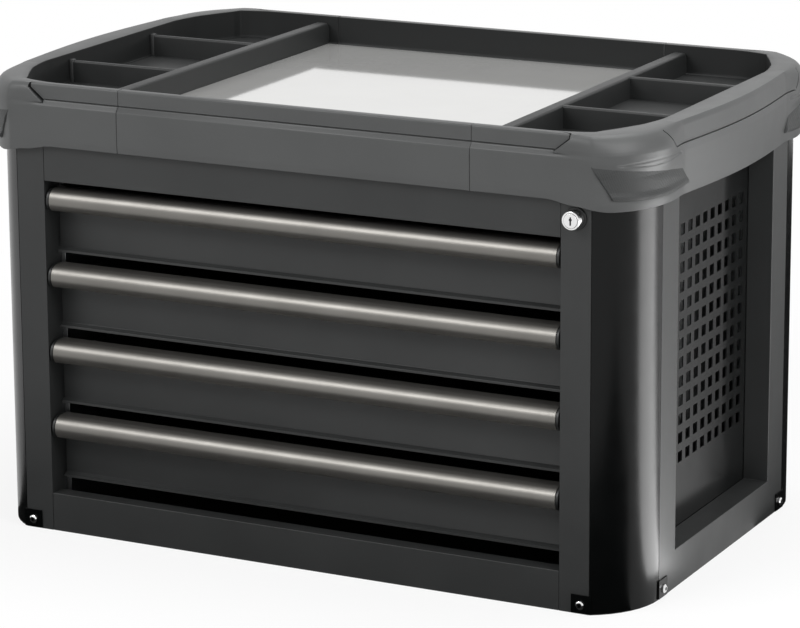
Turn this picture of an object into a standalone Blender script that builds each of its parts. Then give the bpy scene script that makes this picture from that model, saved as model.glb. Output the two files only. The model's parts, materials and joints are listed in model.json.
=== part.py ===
"""Bench-top tool chest with four drawers, perforated sides and a moulded tray rim.

Metres, +Z up, front towards -Y. The origin is under the middle of the chest, on the floor.
"""

import math

import bmesh
import bpy
from mathutils import Matrix, Vector

# Fits between pieces
FIT = 0.0003            # gap left between two seated pieces
RUN = 0.0004            # running gap between sliding pieces
OVERRUN = 0.004         # how far a cutter passes the face that it opens
SINK = 0.0003           # how far two fused walls lie in each other

# Cabinet, folded from sheet steel
HALF_WIDTH = 0.370
HALF_DEPTH = 0.242
SHEET = 0.0015
SHELL_TOP = 0.4487      # top edge of the cabinet walls, under the tray floor
CORNER_RADIUS = 0.083   # arc of a corner cover, tangent to the side face
COVER_ALONG_SIDE = 0.073
COVER_WALL = 0.0020

# Front opening, posts and rails
OPENING_HALF = 0.294
OPENING_BOTTOM = 0.0412
OPENING_TOP = 0.3793
JAMB_DEPTH = 0.0300
RETURN_WIDTH = 0.0280
RAIL_FOLD = 0.0250
SILL_FOLD = 0.0180

# Side recess with its perforated panel
RECESS_HALF = 0.1276
RECESS_BOTTOM = 0.0405
RECESS_TOP = 0.4180
RECESS_DEPTH = 0.0282
PANEL_MARGIN = 0.0110
HOLE_PITCH = 0.0199
HOLE_WIDTH = 0.0115
HOLE_COLUMNS = 12
HOLE_ROWS = 13
HOLE_FIRST_HEIGHT = 0.1131

# Screws at the feet of the corner covers
TAB_WIDTH = 0.0190
TAB_HEIGHT = 0.0190
TAB_WALL = 0.0012
TAB_LIFT = 0.0010
SCREW_INSET = 0.0090    # from the seam of the cover
SCREW_HEIGHT = 0.0095
SCREW_HEAD_RADIUS = 0.0045
SCREW_HEAD_HEIGHT = 0.0024
SCREW_HEAD_SHARES = ((1.0, 0.0), (0.93, 0.45), (0.62, 1.0))     # of the head's radius and height
SCREW_SHANK_RADIUS = 0.0020
SCREW_SHANK_LENGTH = 0.0060
SCREW_SOCKET_RADIUS = 0.0015
SCREW_SOCKET_DEPTH = 0.0014
SCREW_SIDES = 8

# Tray rim and worktop
FLOOR_TOP = 0.4520      # pocket floors and worktop
TRAY_FLOOR = 0.0030
RIM_TOP = 0.4830
RIM_DROP = 0.0750       # from the rim's top to the foot of the corners
RIM_REACH = 0.0200      # the most that the rim stands out from the cabinet
RIM_WALL = 0.0030
RIM_INSET = 0.0060      # from the cabinet's face to the inner wall, at the front
SEAM_HALF = 0.2000      # seam between an end tray and a fascia
STRIP_END = 0.0380      # where the rim's front strip ends, before the corner cover's seam
STRIP_RUN_OUT = 0.0190  # length over which the strip rises into the corner's shoulder
CREASE_BLEND = 0.0140   # half the length over which the rim turns at the cover's front seam
SIDE_BOW = 0.0090       # how far the side of the rim bows out in its middle
SIDE_BOW_STEPS = 5
DIVIDER_INNER = 0.2120
DIVIDER_WIDTH = 0.0140
DIVIDER_TOP = 0.4760
RIB_PLACE = 0.0850
RIB_WIDTH = 0.0060
RIB_TOP = 0.4755
DIVIDER_SINK = 0.0010
WORKTOP_HEM = 0.0100

# Rim sections, outer line from the top edge to the foot: shares of RIM_REACH and RIM_DROP
FRONT_SECTION_SHARES = (
    (0.10, 0.00), (0.20, 0.03), (0.20, 0.20), (0.09, 0.21), (0.09, 0.225), (0.23, 0.235),
    (0.40, 0.29), (0.41, 0.50), (0.41, 0.52), (0.40, 0.78), (0.37, 0.87),
)
SHOULDER_SECTION_SHARES = (
    (0.18, 0.00), (0.36, 0.04), (0.44, 0.12), (0.45, 0.20), (0.45, 0.23), (0.45, 0.26),
    (0.45, 0.36), (0.43, 0.50), (0.42, 0.53), (0.41, 0.78), (0.38, 0.93),
)
CORNER_SECTION_SHARES = (
    (-0.18, 0.00), (0.12, 0.025), (0.36, 0.09), (0.50, 0.16), (0.56, 0.21), (0.60, 0.25),
    (0.61, 0.36), (0.52, 0.51), (0.33, 0.53), (0.33, 0.78), (0.33, 1.00),
)
SIDE_SECTION_SHARES = (
    (0.24, 0.00), (0.36, 0.06), (0.42, 0.27), (0.32, 0.285), (0.32, 0.30), (0.45, 0.31),
    (0.47, 0.40), (0.47, 0.51), (0.47, 0.53), (0.45, 0.78), (0.42, 0.985),
)
# How deep the rim's inner wall lies at even steps round the corner, of the corner radius
CORNER_INSET_SHARES = (0.195, 0.245, 0.285, 0.305, 0.318, 0.322, 0.312, 0.288, 0.255)
SHOULDER_INSET_SHARE = 0.13     # inner wall at the shoulder, of the corner radius
SIDE_INSET = 0.0140

# Bumper pads on the rim's corners
BUMPER_FIRST_SHARE = 0.06       # of the arc, where the pad starts
BUMPER_PAST_SIDE_SEAM = 0.0300
BUMPER_STEPS = 10
BUMPER_STEP_RUN = 0.0015        # length over which the rim steps down into the pad's seat
BUMPER_SECTION_SHARES = (
    (0.50, 0.535), (0.475, 0.58), (0.44, 0.70), (0.45, 0.77), (0.57, 0.84), (0.57, 0.91),
    (0.49, 1.00),
)

# Drawers
DRAWER_COUNT = 4
DRAWER_PITCH = 0.0818
FIRST_GRIP_TOP = 0.3705
FRONT_HALF = 0.2910
FRONT_RECESS = 0.0240   # drawer front behind the posts' face
FRONT_SHEET = 0.0018
FRONT_TOP_DROP = 0.0030
LIP_DROP = 0.0655       # where the front's lip starts, below the top of the grip
LIP_REACH = 0.0050
LIP_FALL = 0.0050
TUB_SHEET = 0.0012
TUB_REAR_ROOM = 0.0367  # from the tub to the rear panel
TUB_TOP_DROP = 0.0120
TUB_BOTTOM_DROP = 0.0660

# Grip rail of a drawer
GRIP_HALF = 0.2890
GRIP_WALL = 0.0018
GRIP_RADIUS = 0.0130
GRIP_BACK_HEIGHT = 0.0185
GRIP_SWEEP = 235.0      # degrees, end of the rounded front
GRIP_ARC_STEPS = 9
CAP_WALL = 0.0030

# Telescopic slides
SLIDE_DROP = 0.0440     # slide's middle below the top of the grip
SLIDE_HALF_HEIGHT = 0.0150
SLIDE_WALL = 0.0012
SLIDE_WIDTH = 0.0133    # from the drawer's side to the rack
SLIDE_SHORTER = 0.0200  # than the tub
SLIDE_START = 0.0070    # behind the back of the drawer front
RAIL_STEM = 0.0030
RACK_STEP = 0.0047      # how far the rack stands in past the jamb
RACK_FLANGE = 0.0130

# Lock on the right post
LOCK_PLACE = 0.3100
LOCK_BELOW_RIM = 0.00175    # from the rim's foot to the collar
LOCK_RADIUS = 0.0094
LOCK_COLLAR_RADIUS = 0.0115
LOCK_COLLAR = 0.0018
LOCK_PROUD = 0.0130
PLUG_RADIUS = 0.0072
PLUG_PROUD = 0.0004
KEYHOLE_WIDTH = 0.0014
KEYHOLE_HEIGHT = 0.0074
KEYHOLE_DEPTH = 0.0080
LOCK_SIDES = 20
CRANK_THROW = 0.0050
CRANK_PIN_RADIUS = 0.0015
CRANK_START = -45.0     # degrees from level, unlocked
BAR_WALL = 0.0022
BAR_HALF_WIDTH = 0.0070
BAR_BOTTOM = 0.0700
BAR_TOP_ROOM = 0.0120   # from the lock's axis to the top of the bar
TONGUE_DROP = 0.0270    # tongue's foot below the top of the grip, unlocked
TONGUE_HEIGHT = 0.0040
TONGUE_REACH = 0.0240   # from the middle of the bar towards the drawers
CATCH_DROP = 0.0215
CATCH_HEIGHT = 0.0055
CATCH_LENGTH = 0.0035
CATCH_REACH = 0.0125
CATCH_ROOM = 0.0016     # between the bar's plane and the catch
SLOT_ROOM = 0.0010

COVER_ARC_STEPS = 8

# Worked out from the sizes above
COVER_CENTRE = HALF_WIDTH - CORNER_RADIUS       # the arc's axis, across the chest
SIDE_SEAM = HALF_DEPTH - COVER_ALONG_SIDE
FRONT_SEAM = COVER_CENTRE + math.sqrt(CORNER_RADIUS**2 - COVER_ALONG_SIDE**2)
ARC_TURN = math.asin(COVER_ALONG_SIDE / CORNER_RADIUS)
PANEL_FACE = HALF_WIDTH - RECESS_DEPTH
TRAY_UNDERSIDE = FLOOR_TOP - TRAY_FLOOR
GRIP_BACK = -HALF_DEPTH + FRONT_RECESS
FRONT_FACE = GRIP_BACK + FIT
FRONT_REAR = FRONT_FACE + FRONT_SHEET
TUB_FRONT = FRONT_REAR - SINK
TUB_DEPTH = HALF_DEPTH - SHEET - TUB_REAR_ROOM - TUB_FRONT
SLIDE_LENGTH = TUB_DEPTH - SLIDE_SHORTER
RACK_PLACE = OPENING_HALF - RACK_STEP
TUB_HALF = RACK_PLACE - SLIDE_WIDTH
RETURN_FRONT = -HALF_DEPTH + JAMB_DEPTH - SHEET
TAB_FACE = FIT + TAB_WALL
LOCK_HEIGHT = RIM_TOP - SHOULDER_SECTION_SHARES[-1][1] * RIM_DROP - LOCK_BELOW_RIM - LOCK_COLLAR_RADIUS
CRANK_LIFT = 2.0 * CRANK_THROW * math.sin(math.radians(-CRANK_START))

POWDER_COAT = ((0.052, 0.052, 0.052), 0.48, 0.0)
GLOSS_BLACK = ((0.012, 0.013, 0.013), 0.16, 0.0)
PERFORATED_COAT = ((0.065, 0.067, 0.066), 0.45, 0.0)
MOULDED_GREY = ((0.110, 0.112, 0.112), 0.55, 0.0)
SOFT_PAD = ((0.075, 0.077, 0.077), 0.75, 0.0)
BRUSHED_GRIP = ((0.42, 0.41, 0.40), 0.32, 1.0)
CAP_PLASTIC = ((0.015, 0.015, 0.015), 0.50, 0.0)
WORKTOP_STEEL = ((0.66, 0.66, 0.65), 0.35, 1.0)
ZINC_STEEL = ((0.50, 0.50, 0.49), 0.35, 1.0)
CHROME = ((0.80, 0.80, 0.80), 0.12, 1.0)


def clear_scene():
    for item in list(bpy.data.objects):
        bpy.data.objects.remove(item, do_unlink=True)


def finish_material(name, finish):
    colour, roughness, metallic = finish
    material = bpy.data.materials.new(name)
    material.use_nodes = True
    shader = material.node_tree.nodes["Principled BSDF"]
    shader.inputs["Base Color"].default_value = (*colour, 1.0)
    shader.inputs["Roughness"].default_value = roughness
    shader.inputs["Metallic"].default_value = metallic
    return material


def add_object(name, shape, finish=None):
    """Turns a bmesh into an object whose faces point outwards."""
    bmesh.ops.recalc_face_normals(shape, faces=shape.faces[:])
    mesh = bpy.data.meshes.new(name)
    shape.to_mesh(mesh)
    shape.free()
    item = bpy.data.objects.new(name, mesh)
    bpy.context.scene.collection.objects.link(item)
    if finish:
        mesh.materials.append(finish_material(name, finish))
    return item


def prism(name, outline, axis, start, end, finish=None):
    """Extrudes a closed outline along X, Y or Z; the outline holds the other two coordinates in order."""
    place = {
        "X": lambda along, point: (along, point[0], point[1]),
        "Y": lambda along, point: (point[0], along, point[1]),
        "Z": lambda along, point: (point[0], point[1], along),
    }[axis]
    shape = bmesh.new()
    face = shape.faces.new([shape.verts.new(place(start, point)) for point in outline])
    extruded = bmesh.ops.extrude_face_region(shape, geom=[face])
    moved = [item for item in extruded["geom"] if isinstance(item, bmesh.types.BMVert)]
    bmesh.ops.translate(shape, verts=moved, vec=Vector(place(end - start, (0.0, 0.0))))
    return add_object(name, shape, finish)


def box(name, low, high, finish=None):
    outline = [(low[0], low[1]), (high[0], low[1]), (high[0], high[1]), (low[0], high[1])]
    return prism(name, outline, "Z", low[2], high[2], finish)


def cylinder(name, radius, centre, axis, start, end, sides):
    outline = []
    for step in range(sides):
        angle = 2.0 * math.pi * step / sides
        outline.append((centre[0] + radius * math.cos(angle), centre[1] + radius * math.sin(angle)))
    return prism(name, outline, axis, start, end)


def combine(target, tool, operation):
    """Joins a solid with a tool, or cuts the tool out of it, and removes the tool."""
    change = target.modifiers.new(operation.lower(), "BOOLEAN")
    change.operation = operation
    change.object = tool
    evaluated = target.evaluated_get(bpy.context.evaluated_depsgraph_get())
    mesh = bpy.data.meshes.new_from_object(evaluated)
    target.modifiers.remove(change)
    target.data = mesh
    mesh.name = target.name
    bpy.data.objects.remove(tool, do_unlink=True)


def join(target, *tools):
    for tool in tools:
        combine(target, tool, "UNION")


def cut(target, *tools):
    for tool in tools:
        combine(target, tool, "DIFFERENCE")


def arc_points(centre, radius, first, last, steps):
    """Points on an arc, angles in radians, both ends included."""
    points = []
    for step in range(steps + 1):
        angle = first + (last - first) * step / steps
        points.append((centre[0] + radius * math.cos(angle), centre[1] + radius * math.sin(angle)))
    return points


def folded_outline(line, wall):
    """Closed outline of a sheet whose left-hand face follows the line."""
    normals = []
    for first, second in zip(line, line[1:]):
        along = (Vector(second) - Vector(first)).normalized()
        normals.append(Vector((along.y, -along.x)))
    back = []
    for index, point in enumerate(line):
        before = normals[max(index - 1, 0)]
        after = normals[min(index, len(normals) - 1)]
        middle = (before + after).normalized()
        back.append(tuple(Vector(point) + middle * (wall / middle.dot(after))))
    return list(line) + back[::-1]


def mirrored(outline, side):
    return [(side * point[0], point[1]) for point in outline]


def set_origin(item, origin):
    """Moves the object's origin without moving its surface."""
    item.data.transform(Matrix.Translation(-Vector(origin)))
    item.location = origin


def smooth(item, angle=30.0):
    item.data.shade_smooth()
    item.data.set_sharp_from_angle(angle=math.radians(angle))


# Cabinet


def build_bottom_panel():
    room = SHEET + FIT
    notch = HALF_DEPTH - JAMB_DEPTH - FIT
    inside_arc = CORNER_RADIUS - 2.0 * COVER_WALL
    corner = [
        (OPENING_HALF - FIT, HALF_DEPTH - room),
        (OPENING_HALF - FIT, notch),
        (COVER_CENTRE + math.sqrt(inside_arc**2 - (notch - SIDE_SEAM)**2), notch),
        (COVER_CENTRE + inside_arc, SIDE_SEAM),
        (HALF_WIDTH - room, RECESS_HALF),
    ]
    outline = []
    for sign_x, sign_y, order in ((1, -1, 1), (1, 1, -1), (-1, 1, 1), (-1, -1, -1)):
        outline += [(sign_x * x, sign_y * y) for x, y in corner[::order]]
    return prism("bottom_panel", outline, "Z", 0.0, SHEET, POWDER_COAT)


def build_rear_panel():
    edge = FRONT_SEAM - FIT
    line = [
        (edge, HALF_DEPTH - RAIL_FOLD),
        (edge, HALF_DEPTH),
        (-edge, HALF_DEPTH),
        (-edge, HALF_DEPTH - RAIL_FOLD),
    ]
    panel = prism("rear_panel", folded_outline(line[::-1], SHEET), "Z", 0.0, SHELL_TOP, POWDER_COAT)
    for side in (1, -1):
        cut(panel, screw_hole(side * (FRONT_SEAM - SCREW_INSET), HALF_DEPTH, "Y"))
    return panel


def screw_hole(place, depth, axis):
    low, high = sorted((depth - math.copysign(OVERRUN, depth), depth + math.copysign(OVERRUN, depth)))
    return cylinder(
        "screw_hole", SCREW_SHANK_RADIUS + FIT, (place, SCREW_HEIGHT), axis, low, high, SCREW_SIDES
    )


def build_post(side, name):
    line = [
        (FRONT_SEAM - FIT, -HALF_DEPTH),
        (OPENING_HALF, -HALF_DEPTH),
        (OPENING_HALF, -HALF_DEPTH + JAMB_DEPTH),
        (OPENING_HALF + RETURN_WIDTH, -HALF_DEPTH + JAMB_DEPTH),
    ]
    outline = mirrored(folded_outline(line, SHEET), side)
    post = prism(name, outline, "Z", 0.0, SHELL_TOP, POWDER_COAT)
    cut(post, screw_hole(side * (FRONT_SEAM - SCREW_INSET), -HALF_DEPTH, "Y"))
    return post


def cut_lock_openings(post):
    """The lock's hole through the face and a slot through the jamb for each tongue of the locking bar."""
    cut(post, cylinder(
        "lock_hole", LOCK_RADIUS + FIT, (LOCK_PLACE, LOCK_HEIGHT), "Y",
        -HALF_DEPTH - OVERRUN, -HALF_DEPTH + OVERRUN, LOCK_SIDES,
    ))
    for number in range(DRAWER_COUNT):
        foot = grip_top(number) - TONGUE_DROP
        cut(post, box(
            "tongue_slot",
            (OPENING_HALF - OVERRUN, bar_front() - SLOT_ROOM, foot - SLOT_ROOM),
            (OPENING_HALF + SHEET + SLOT_ROOM, RETURN_FRONT, foot + TONGUE_HEIGHT + CRANK_LIFT + SLOT_ROOM),
        ))


def build_top_rail():
    line = [
        (-HALF_DEPTH + SILL_FOLD, OPENING_TOP),
        (-HALF_DEPTH, OPENING_TOP),
        (-HALF_DEPTH, SHELL_TOP),
        (-HALF_DEPTH + RAIL_FOLD, SHELL_TOP),
    ]
    edge = OPENING_HALF - FIT
    return prism("top_rail", folded_outline(line, SHEET), "X", -edge, edge, POWDER_COAT)


def build_bottom_rail():
    line = [
        (-HALF_DEPTH, 0.0),
        (-HALF_DEPTH, OPENING_BOTTOM),
        (-HALF_DEPTH + SILL_FOLD, OPENING_BOTTOM),
        (-HALF_DEPTH + SILL_FOLD, SHEET + FIT),
    ]
    edge = OPENING_HALF - FIT
    return prism("bottom_rail", folded_outline(line, SHEET), "X", -edge, edge, POWDER_COAT)


def build_side_frame(side, name):
    """Side face with its deep recess: four reveals run in to the perforated panel."""
    outer, inner = side * HALF_WIDTH, side * (HALF_WIDTH - SHEET)
    edge = SIDE_SEAM - FIT
    frame = box(
        name,
        (min(outer, inner), -edge, 0.0),
        (max(outer, inner), edge, SHELL_TOP),
        POWDER_COAT,
    )
    reveal_ends = sorted((side * (PANEL_FACE + FIT), side * (HALF_WIDTH - SHEET / 2.0)))
    join(frame, box(
        "reveal",
        (reveal_ends[0], -RECESS_HALF - SHEET, RECESS_BOTTOM - SHEET),
        (reveal_ends[1], RECESS_HALF + SHEET, RECESS_TOP + SHEET),
    ))
    opening_ends = sorted((side * (PANEL_FACE - OVERRUN), side * (HALF_WIDTH + OVERRUN)))
    cut(frame, box(
        "recess",
        (opening_ends[0], -RECESS_HALF, RECESS_BOTTOM),
        (opening_ends[1], RECESS_HALF, RECESS_TOP),
    ))
    for end in (1, -1):
        hole = cylinder(
            "screw_hole", SCREW_SHANK_RADIUS + FIT, (end * (SIDE_SEAM - SCREW_INSET), SCREW_HEIGHT), "X",
            opening_ends[0], opening_ends[1], SCREW_SIDES,
        )
        cut(frame, hole)
    return frame


def hole_lines(first, count):
    """Grid lines of the hole edges, in pairs, one pair for each hole."""
    lines = []
    for number in range(count):
        middle = first + number * HOLE_PITCH
        lines += [middle - HOLE_WIDTH / 2.0, middle + HOLE_WIDTH / 2.0]
    return lines


def build_perforated_panel(side, name):
    """A sheet on a grid of lines; the cells between both edges of a hole stay open."""
    half = RECESS_HALF + PANEL_MARGIN
    low, high = RECESS_BOTTOM - PANEL_MARGIN, RECESS_TOP + PANEL_MARGIN
    across = [-half, *hole_lines(-HOLE_PITCH * (HOLE_COLUMNS - 1) / 2.0, HOLE_COLUMNS), half]
    upward = [low, *hole_lines(HOLE_FIRST_HEIGHT, HOLE_ROWS), high]
    shape = bmesh.new()
    grid = [[shape.verts.new((side * PANEL_FACE, y, z)) for y in across] for z in upward]
    for row in range(len(upward) - 1):
        for column in range(len(across) - 1):
            if row % 2 and column % 2:
                continue
            shape.faces.new((
                grid[row][column], grid[row][column + 1],
                grid[row + 1][column + 1], grid[row + 1][column],
            ))
    bmesh.ops.dissolve_limit(
        shape, angle_limit=math.radians(1.0), use_dissolve_boundaries=True,
        verts=shape.verts[:], edges=shape.edges[:],
    )
    extruded = bmesh.ops.extrude_face_region(shape, geom=shape.faces[:])
    moved = [item for item in extruded["geom"] if isinstance(item, bmesh.types.BMVert)]
    bmesh.ops.translate(shape, verts=moved, vec=Vector((-side * SHEET, 0.0, 0.0)))
    return add_object(name, shape, PERFORATED_COAT)


def build_corner_cover(side, end, name):
    """A curved sheet from seam to seam, with a screwed tab at its foot on each face."""
    centre = (COVER_CENTRE, SIDE_SEAM)
    faces = []
    for radius in (CORNER_RADIUS, CORNER_RADIUS - COVER_WALL):
        first = math.asin(FIT / radius)
        last = math.acos((FRONT_SEAM + FIT - centre[0]) / radius)
        faces.append(arc_points(centre, radius, first, last, COVER_ARC_STEPS))
    outline = [(side * x, end * y) for x, y in faces[0] + faces[1][::-1]]
    cover = prism(name, outline, "Z", 0.0, SHELL_TOP, GLOSS_BLACK)
    tab_top = TAB_LIFT + TAB_HEIGHT
    root = COVER_WALL
    across = [
        (FRONT_SEAM - TAB_WIDTH, HALF_DEPTH + FIT),
        (FRONT_SEAM + FIT, HALF_DEPTH + FIT),
        (FRONT_SEAM + FIT, HALF_DEPTH - COVER_WALL),
        (FRONT_SEAM + root, HALF_DEPTH - COVER_WALL),
        (FRONT_SEAM + root, HALF_DEPTH + TAB_FACE),
        (FRONT_SEAM - TAB_WIDTH, HALF_DEPTH + TAB_FACE),
    ]
    along = [
        (HALF_WIDTH + FIT, SIDE_SEAM - TAB_WIDTH),
        (HALF_WIDTH + FIT, SIDE_SEAM + FIT),
        (HALF_WIDTH - COVER_WALL / 2.0, SIDE_SEAM + FIT + SINK),
        (HALF_WIDTH - COVER_WALL / 2.0, SIDE_SEAM + root),
        (HALF_WIDTH + TAB_FACE, SIDE_SEAM + root),
        (HALF_WIDTH + TAB_FACE, SIDE_SEAM - TAB_WIDTH),
    ]
    for tab in (across, along):
        placed = [(side * x, end * y) for x, y in tab]
        join(cover, prism("tab", placed, "Z", TAB_LIFT, tab_top))
    cut(cover, screw_hole(side * (FRONT_SEAM - SCREW_INSET), end * HALF_DEPTH, "Y"))
    cut(cover, screw_hole(end * (SIDE_SEAM - SCREW_INSET), side * HALF_WIDTH, "X"))
    smooth(cover)
    return cover


def build_screw(name, axis, place, face, direction):
    """Button-head screw with a hexagon socket; its head stands on the tab's face."""
    seat = face + direction * (TAB_FACE + FIT)
    profile = [(SCREW_HEAD_RADIUS * across, SCREW_HEAD_HEIGHT * up) for across, up in SCREW_HEAD_SHARES]
    shape = bmesh.new()
    rings = []
    stations = [
        (SCREW_SHANK_RADIUS, -SCREW_SHANK_LENGTH),
        (SCREW_SHANK_RADIUS, 0.0),
        *profile,
        (SCREW_SOCKET_RADIUS, SCREW_HEAD_HEIGHT),
        (SCREW_SOCKET_RADIUS, SCREW_HEAD_HEIGHT - SCREW_SOCKET_DEPTH),
    ]
    for radius, height in stations:
        ring = []
        for step in range(SCREW_SIDES):
            angle = 2.0 * math.pi * step / SCREW_SIDES
            across, up = radius * math.cos(angle), radius * math.sin(angle)
            out = seat + direction * height
            point = (place + across, out, SCREW_HEIGHT + up)
            if axis == "X":
                point = (out, place + across, SCREW_HEIGHT + up)
            ring.append(shape.verts.new(point))
        rings.append(ring)
    for first, second in zip(rings, rings[1:]):
        for step in range(SCREW_SIDES):
            after = (step + 1) % SCREW_SIDES
            shape.faces.new((first[step], first[after], second[after], second[step]))
    shape.faces.new(rings[0])
    shape.faces.new(rings[-1])
    screw = add_object(name, shape, CHROME)
    smooth(screw)
    return screw


# Tray rim


def rim_line(distance):
    """Point and outward direction on the cabinet's outline, from the seam at the front round one corner."""
    front = FRONT_SEAM - SEAM_HALF
    arc = CORNER_RADIUS * ARC_TURN
    if distance <= front:
        point = Vector((SEAM_HALF + distance, -HALF_DEPTH))
        turn = -math.pi / 2.0
    elif distance <= front + arc:
        turn = -ARC_TURN + (distance - front) / CORNER_RADIUS
        point = Vector((
            COVER_CENTRE + CORNER_RADIUS * math.cos(turn),
            -SIDE_SEAM + CORNER_RADIUS * math.sin(turn),
        ))
    else:
        turn = 0.0
        point = Vector((HALF_WIDTH, -SIDE_SEAM + distance - front - arc))
    near = (distance - front) / CREASE_BLEND
    if abs(near) < 1.0:
        before, after = -math.pi / 2.0, -ARC_TURN + CREASE_BLEND / CORNER_RADIUS
        turn = before + (after - before) * (near + 1.0) / 2.0
    return point, Vector((math.cos(turn), math.sin(turn)))


def blend(first, second, share):
    return [
        (a[0] + (b[0] - a[0]) * share, a[1] + (b[1] - a[1]) * share)
        for a, b in zip(first, second)
    ]


def rim_stations():
    """Stations from the front seam to the middle of the side: distance, section, inner inset and bow."""
    front = FRONT_SEAM - SEAM_HALF
    arc = CORNER_RADIUS * ARC_TURN
    strip_end = front - STRIP_END
    shoulder_inset = CORNER_RADIUS * SHOULDER_INSET_SHARE
    stations = [
        (0.0, FRONT_SECTION_SHARES, RIM_INSET, 0.0),
        (strip_end, FRONT_SECTION_SHARES, RIM_INSET, 0.0),
        (strip_end + STRIP_RUN_OUT, SHOULDER_SECTION_SHARES, shoulder_inset, 0.0),
    ]
    first_inset, *later_insets = [CORNER_RADIUS * share for share in CORNER_INSET_SHARES]
    pad_start = front + arc * BUMPER_FIRST_SHARE
    stations += [
        (front, SHOULDER_SECTION_SHARES, first_inset, 0.0),
        (pad_start - BUMPER_STEP_RUN, SHOULDER_SECTION_SHARES, first_inset, 0.0),
        (pad_start, CORNER_SECTION_SHARES, first_inset, 0.0),
    ]
    for step, inset in enumerate(later_insets, start=1):
        stations.append((front + arc * step / len(later_insets), CORNER_SECTION_SHARES, inset, 0.0))
    pad_end = front + arc + BUMPER_PAST_SIDE_SEAM
    blended = blend(CORNER_SECTION_SHARES, SIDE_SECTION_SHARES, 0.5)
    foot = len(blended) - 3
    pad_section = blended[:foot] + list(CORNER_SECTION_SHARES[foot:])
    stations.append((pad_end, pad_section, SIDE_INSET, 0.0))
    side_start = pad_end + BUMPER_STEP_RUN
    stations.append((side_start, SIDE_SECTION_SHARES, SIDE_INSET, 0.0))
    rest = SIDE_SEAM - BUMPER_PAST_SIDE_SEAM - BUMPER_STEP_RUN
    for step in range(1, SIDE_BOW_STEPS + 1):
        share = step / SIDE_BOW_STEPS
        bow = SIDE_BOW * math.sin(share * math.pi / 2.0)
        stations.append((side_start + rest * share, SIDE_SECTION_SHARES, SIDE_INSET, bow))
    return stations


def rim_section(section, inset, bow):
    """Closed section of the rim as (out, height): outer line, foot, hollow underside, inner wall."""
    outer = [(share * RIM_REACH + bow, RIM_TOP - drop * RIM_DROP) for share, drop in section]
    foot = outer[-1][1]
    roof = RIM_TOP - RIM_WALL
    return outer + [
        (FIT, foot),
        (FIT, roof),
        (-inset + RIM_WALL, roof),
        (-inset + RIM_WALL, TRAY_UNDERSIDE),
        (-inset, TRAY_UNDERSIDE),
        (-inset, RIM_TOP),
    ]


def loft(name, rings, side, finish=None):
    """Skins closed rings of equal length and closes both ends."""
    shape = bmesh.new()
    placed = [[shape.verts.new((side * x, y, z)) for x, y, z in ring] for ring in rings]
    for first, second in zip(placed, placed[1:]):
        count = len(first)
        for step in range(count):
            after = (step + 1) % count
            shape.faces.new((first[step], first[after], second[after], second[step]))
    shape.faces.new(placed[0])
    shape.faces.new(placed[-1])
    return add_object(name, shape, finish)


def ring_at(distance, section, mirror):
    point, out = rim_line(distance)
    ring = []
    for reach, height in section:
        x, y = point + out * reach
        ring.append((x, mirror * y, height))
    return ring


def build_end_tray(side, name):
    """Hollow rim round one end of the chest, with the pocket floor, the divider and two ribs."""
    stations = rim_stations()
    rings = [ring_at(at, rim_section(section, inset, bow), 1.0) for at, section, inset, bow in stations]
    rings += [
        ring_at(at, rim_section(section, inset, bow), -1.0)
        for at, section, inset, bow in stations[-2::-1]
    ]
    tray = loft(name, rings, side, MOULDED_GREY)
    floor_edge = []
    for at, _, inset, _ in stations:
        point, out = rim_line(at)
        floor_edge.append(tuple(point - out * (inset - RIM_WALL / 2.0)))
    start = (DIVIDER_INNER, floor_edge[0][1])
    half_outline = [start] + [point for point in floor_edge if point[0] > DIVIDER_INNER + DIVIDER_SINK]
    other_half = [(x, -y) for x, y in half_outline[-2::-1]]
    floor = prism("floor", mirrored(half_outline + other_half, side), "Z",
                  TRAY_UNDERSIDE + SINK, FLOOR_TOP)
    reach = HALF_DEPTH - RIM_INSET + RIM_WALL / 2.0
    divider = box(
        "divider",
        (min(side * DIVIDER_INNER, side * (DIVIDER_INNER + DIVIDER_WIDTH)), -reach, TRAY_UNDERSIDE),
        (max(side * DIVIDER_INNER, side * (DIVIDER_INNER + DIVIDER_WIDTH)), reach, DIVIDER_TOP),
    )
    join(tray, divider, floor)
    rib_ends = sorted((
        side * (DIVIDER_INNER + DIVIDER_WIDTH / 2.0),
        side * (HALF_WIDTH - SIDE_INSET + RIM_WALL / 2.0),
    ))
    for place in (-RIB_PLACE, RIB_PLACE):
        join(tray, box(
            "rib",
            (rib_ends[0], place - RIB_WIDTH / 2.0, FLOOR_TOP - DIVIDER_SINK),
            (rib_ends[1], place + RIB_WIDTH / 2.0, RIB_TOP),
        ))
    return tray


def build_fascia(end, name):
    """Straight length of the rim between the two end trays."""
    section = rim_section(FRONT_SECTION_SHARES, RIM_INSET, 0.0)
    outline = [(end * (HALF_DEPTH + reach), height) for reach, height in section]
    edge = SEAM_HALF - FIT
    return prism(name, outline, "X", -edge, edge, MOULDED_GREY)


def build_bumper(side, end, name):
    """Soft pad that fills the shallow seat in a corner of the rim."""
    front = FRONT_SEAM - SEAM_HALF
    arc = CORNER_RADIUS * ARC_TURN
    first = front + arc * BUMPER_FIRST_SHARE + FIT
    last = front + arc + BUMPER_PAST_SIDE_SEAM - FIT
    outer = [(share * RIM_REACH, RIM_TOP - drop * RIM_DROP) for share, drop in BUMPER_SECTION_SHARES]
    seat = CORNER_SECTION_SHARES[-1][0] * RIM_REACH + FIT
    section = outer + [(seat, outer[-1][1]), (seat, outer[0][1])]
    rings = []
    for step in range(BUMPER_STEPS + 1):
        rings.append(ring_at(first + (last - first) * step / BUMPER_STEPS, section, -end))
    pad = loft(name, rings, side, SOFT_PAD)
    smooth(pad)
    return pad


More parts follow.
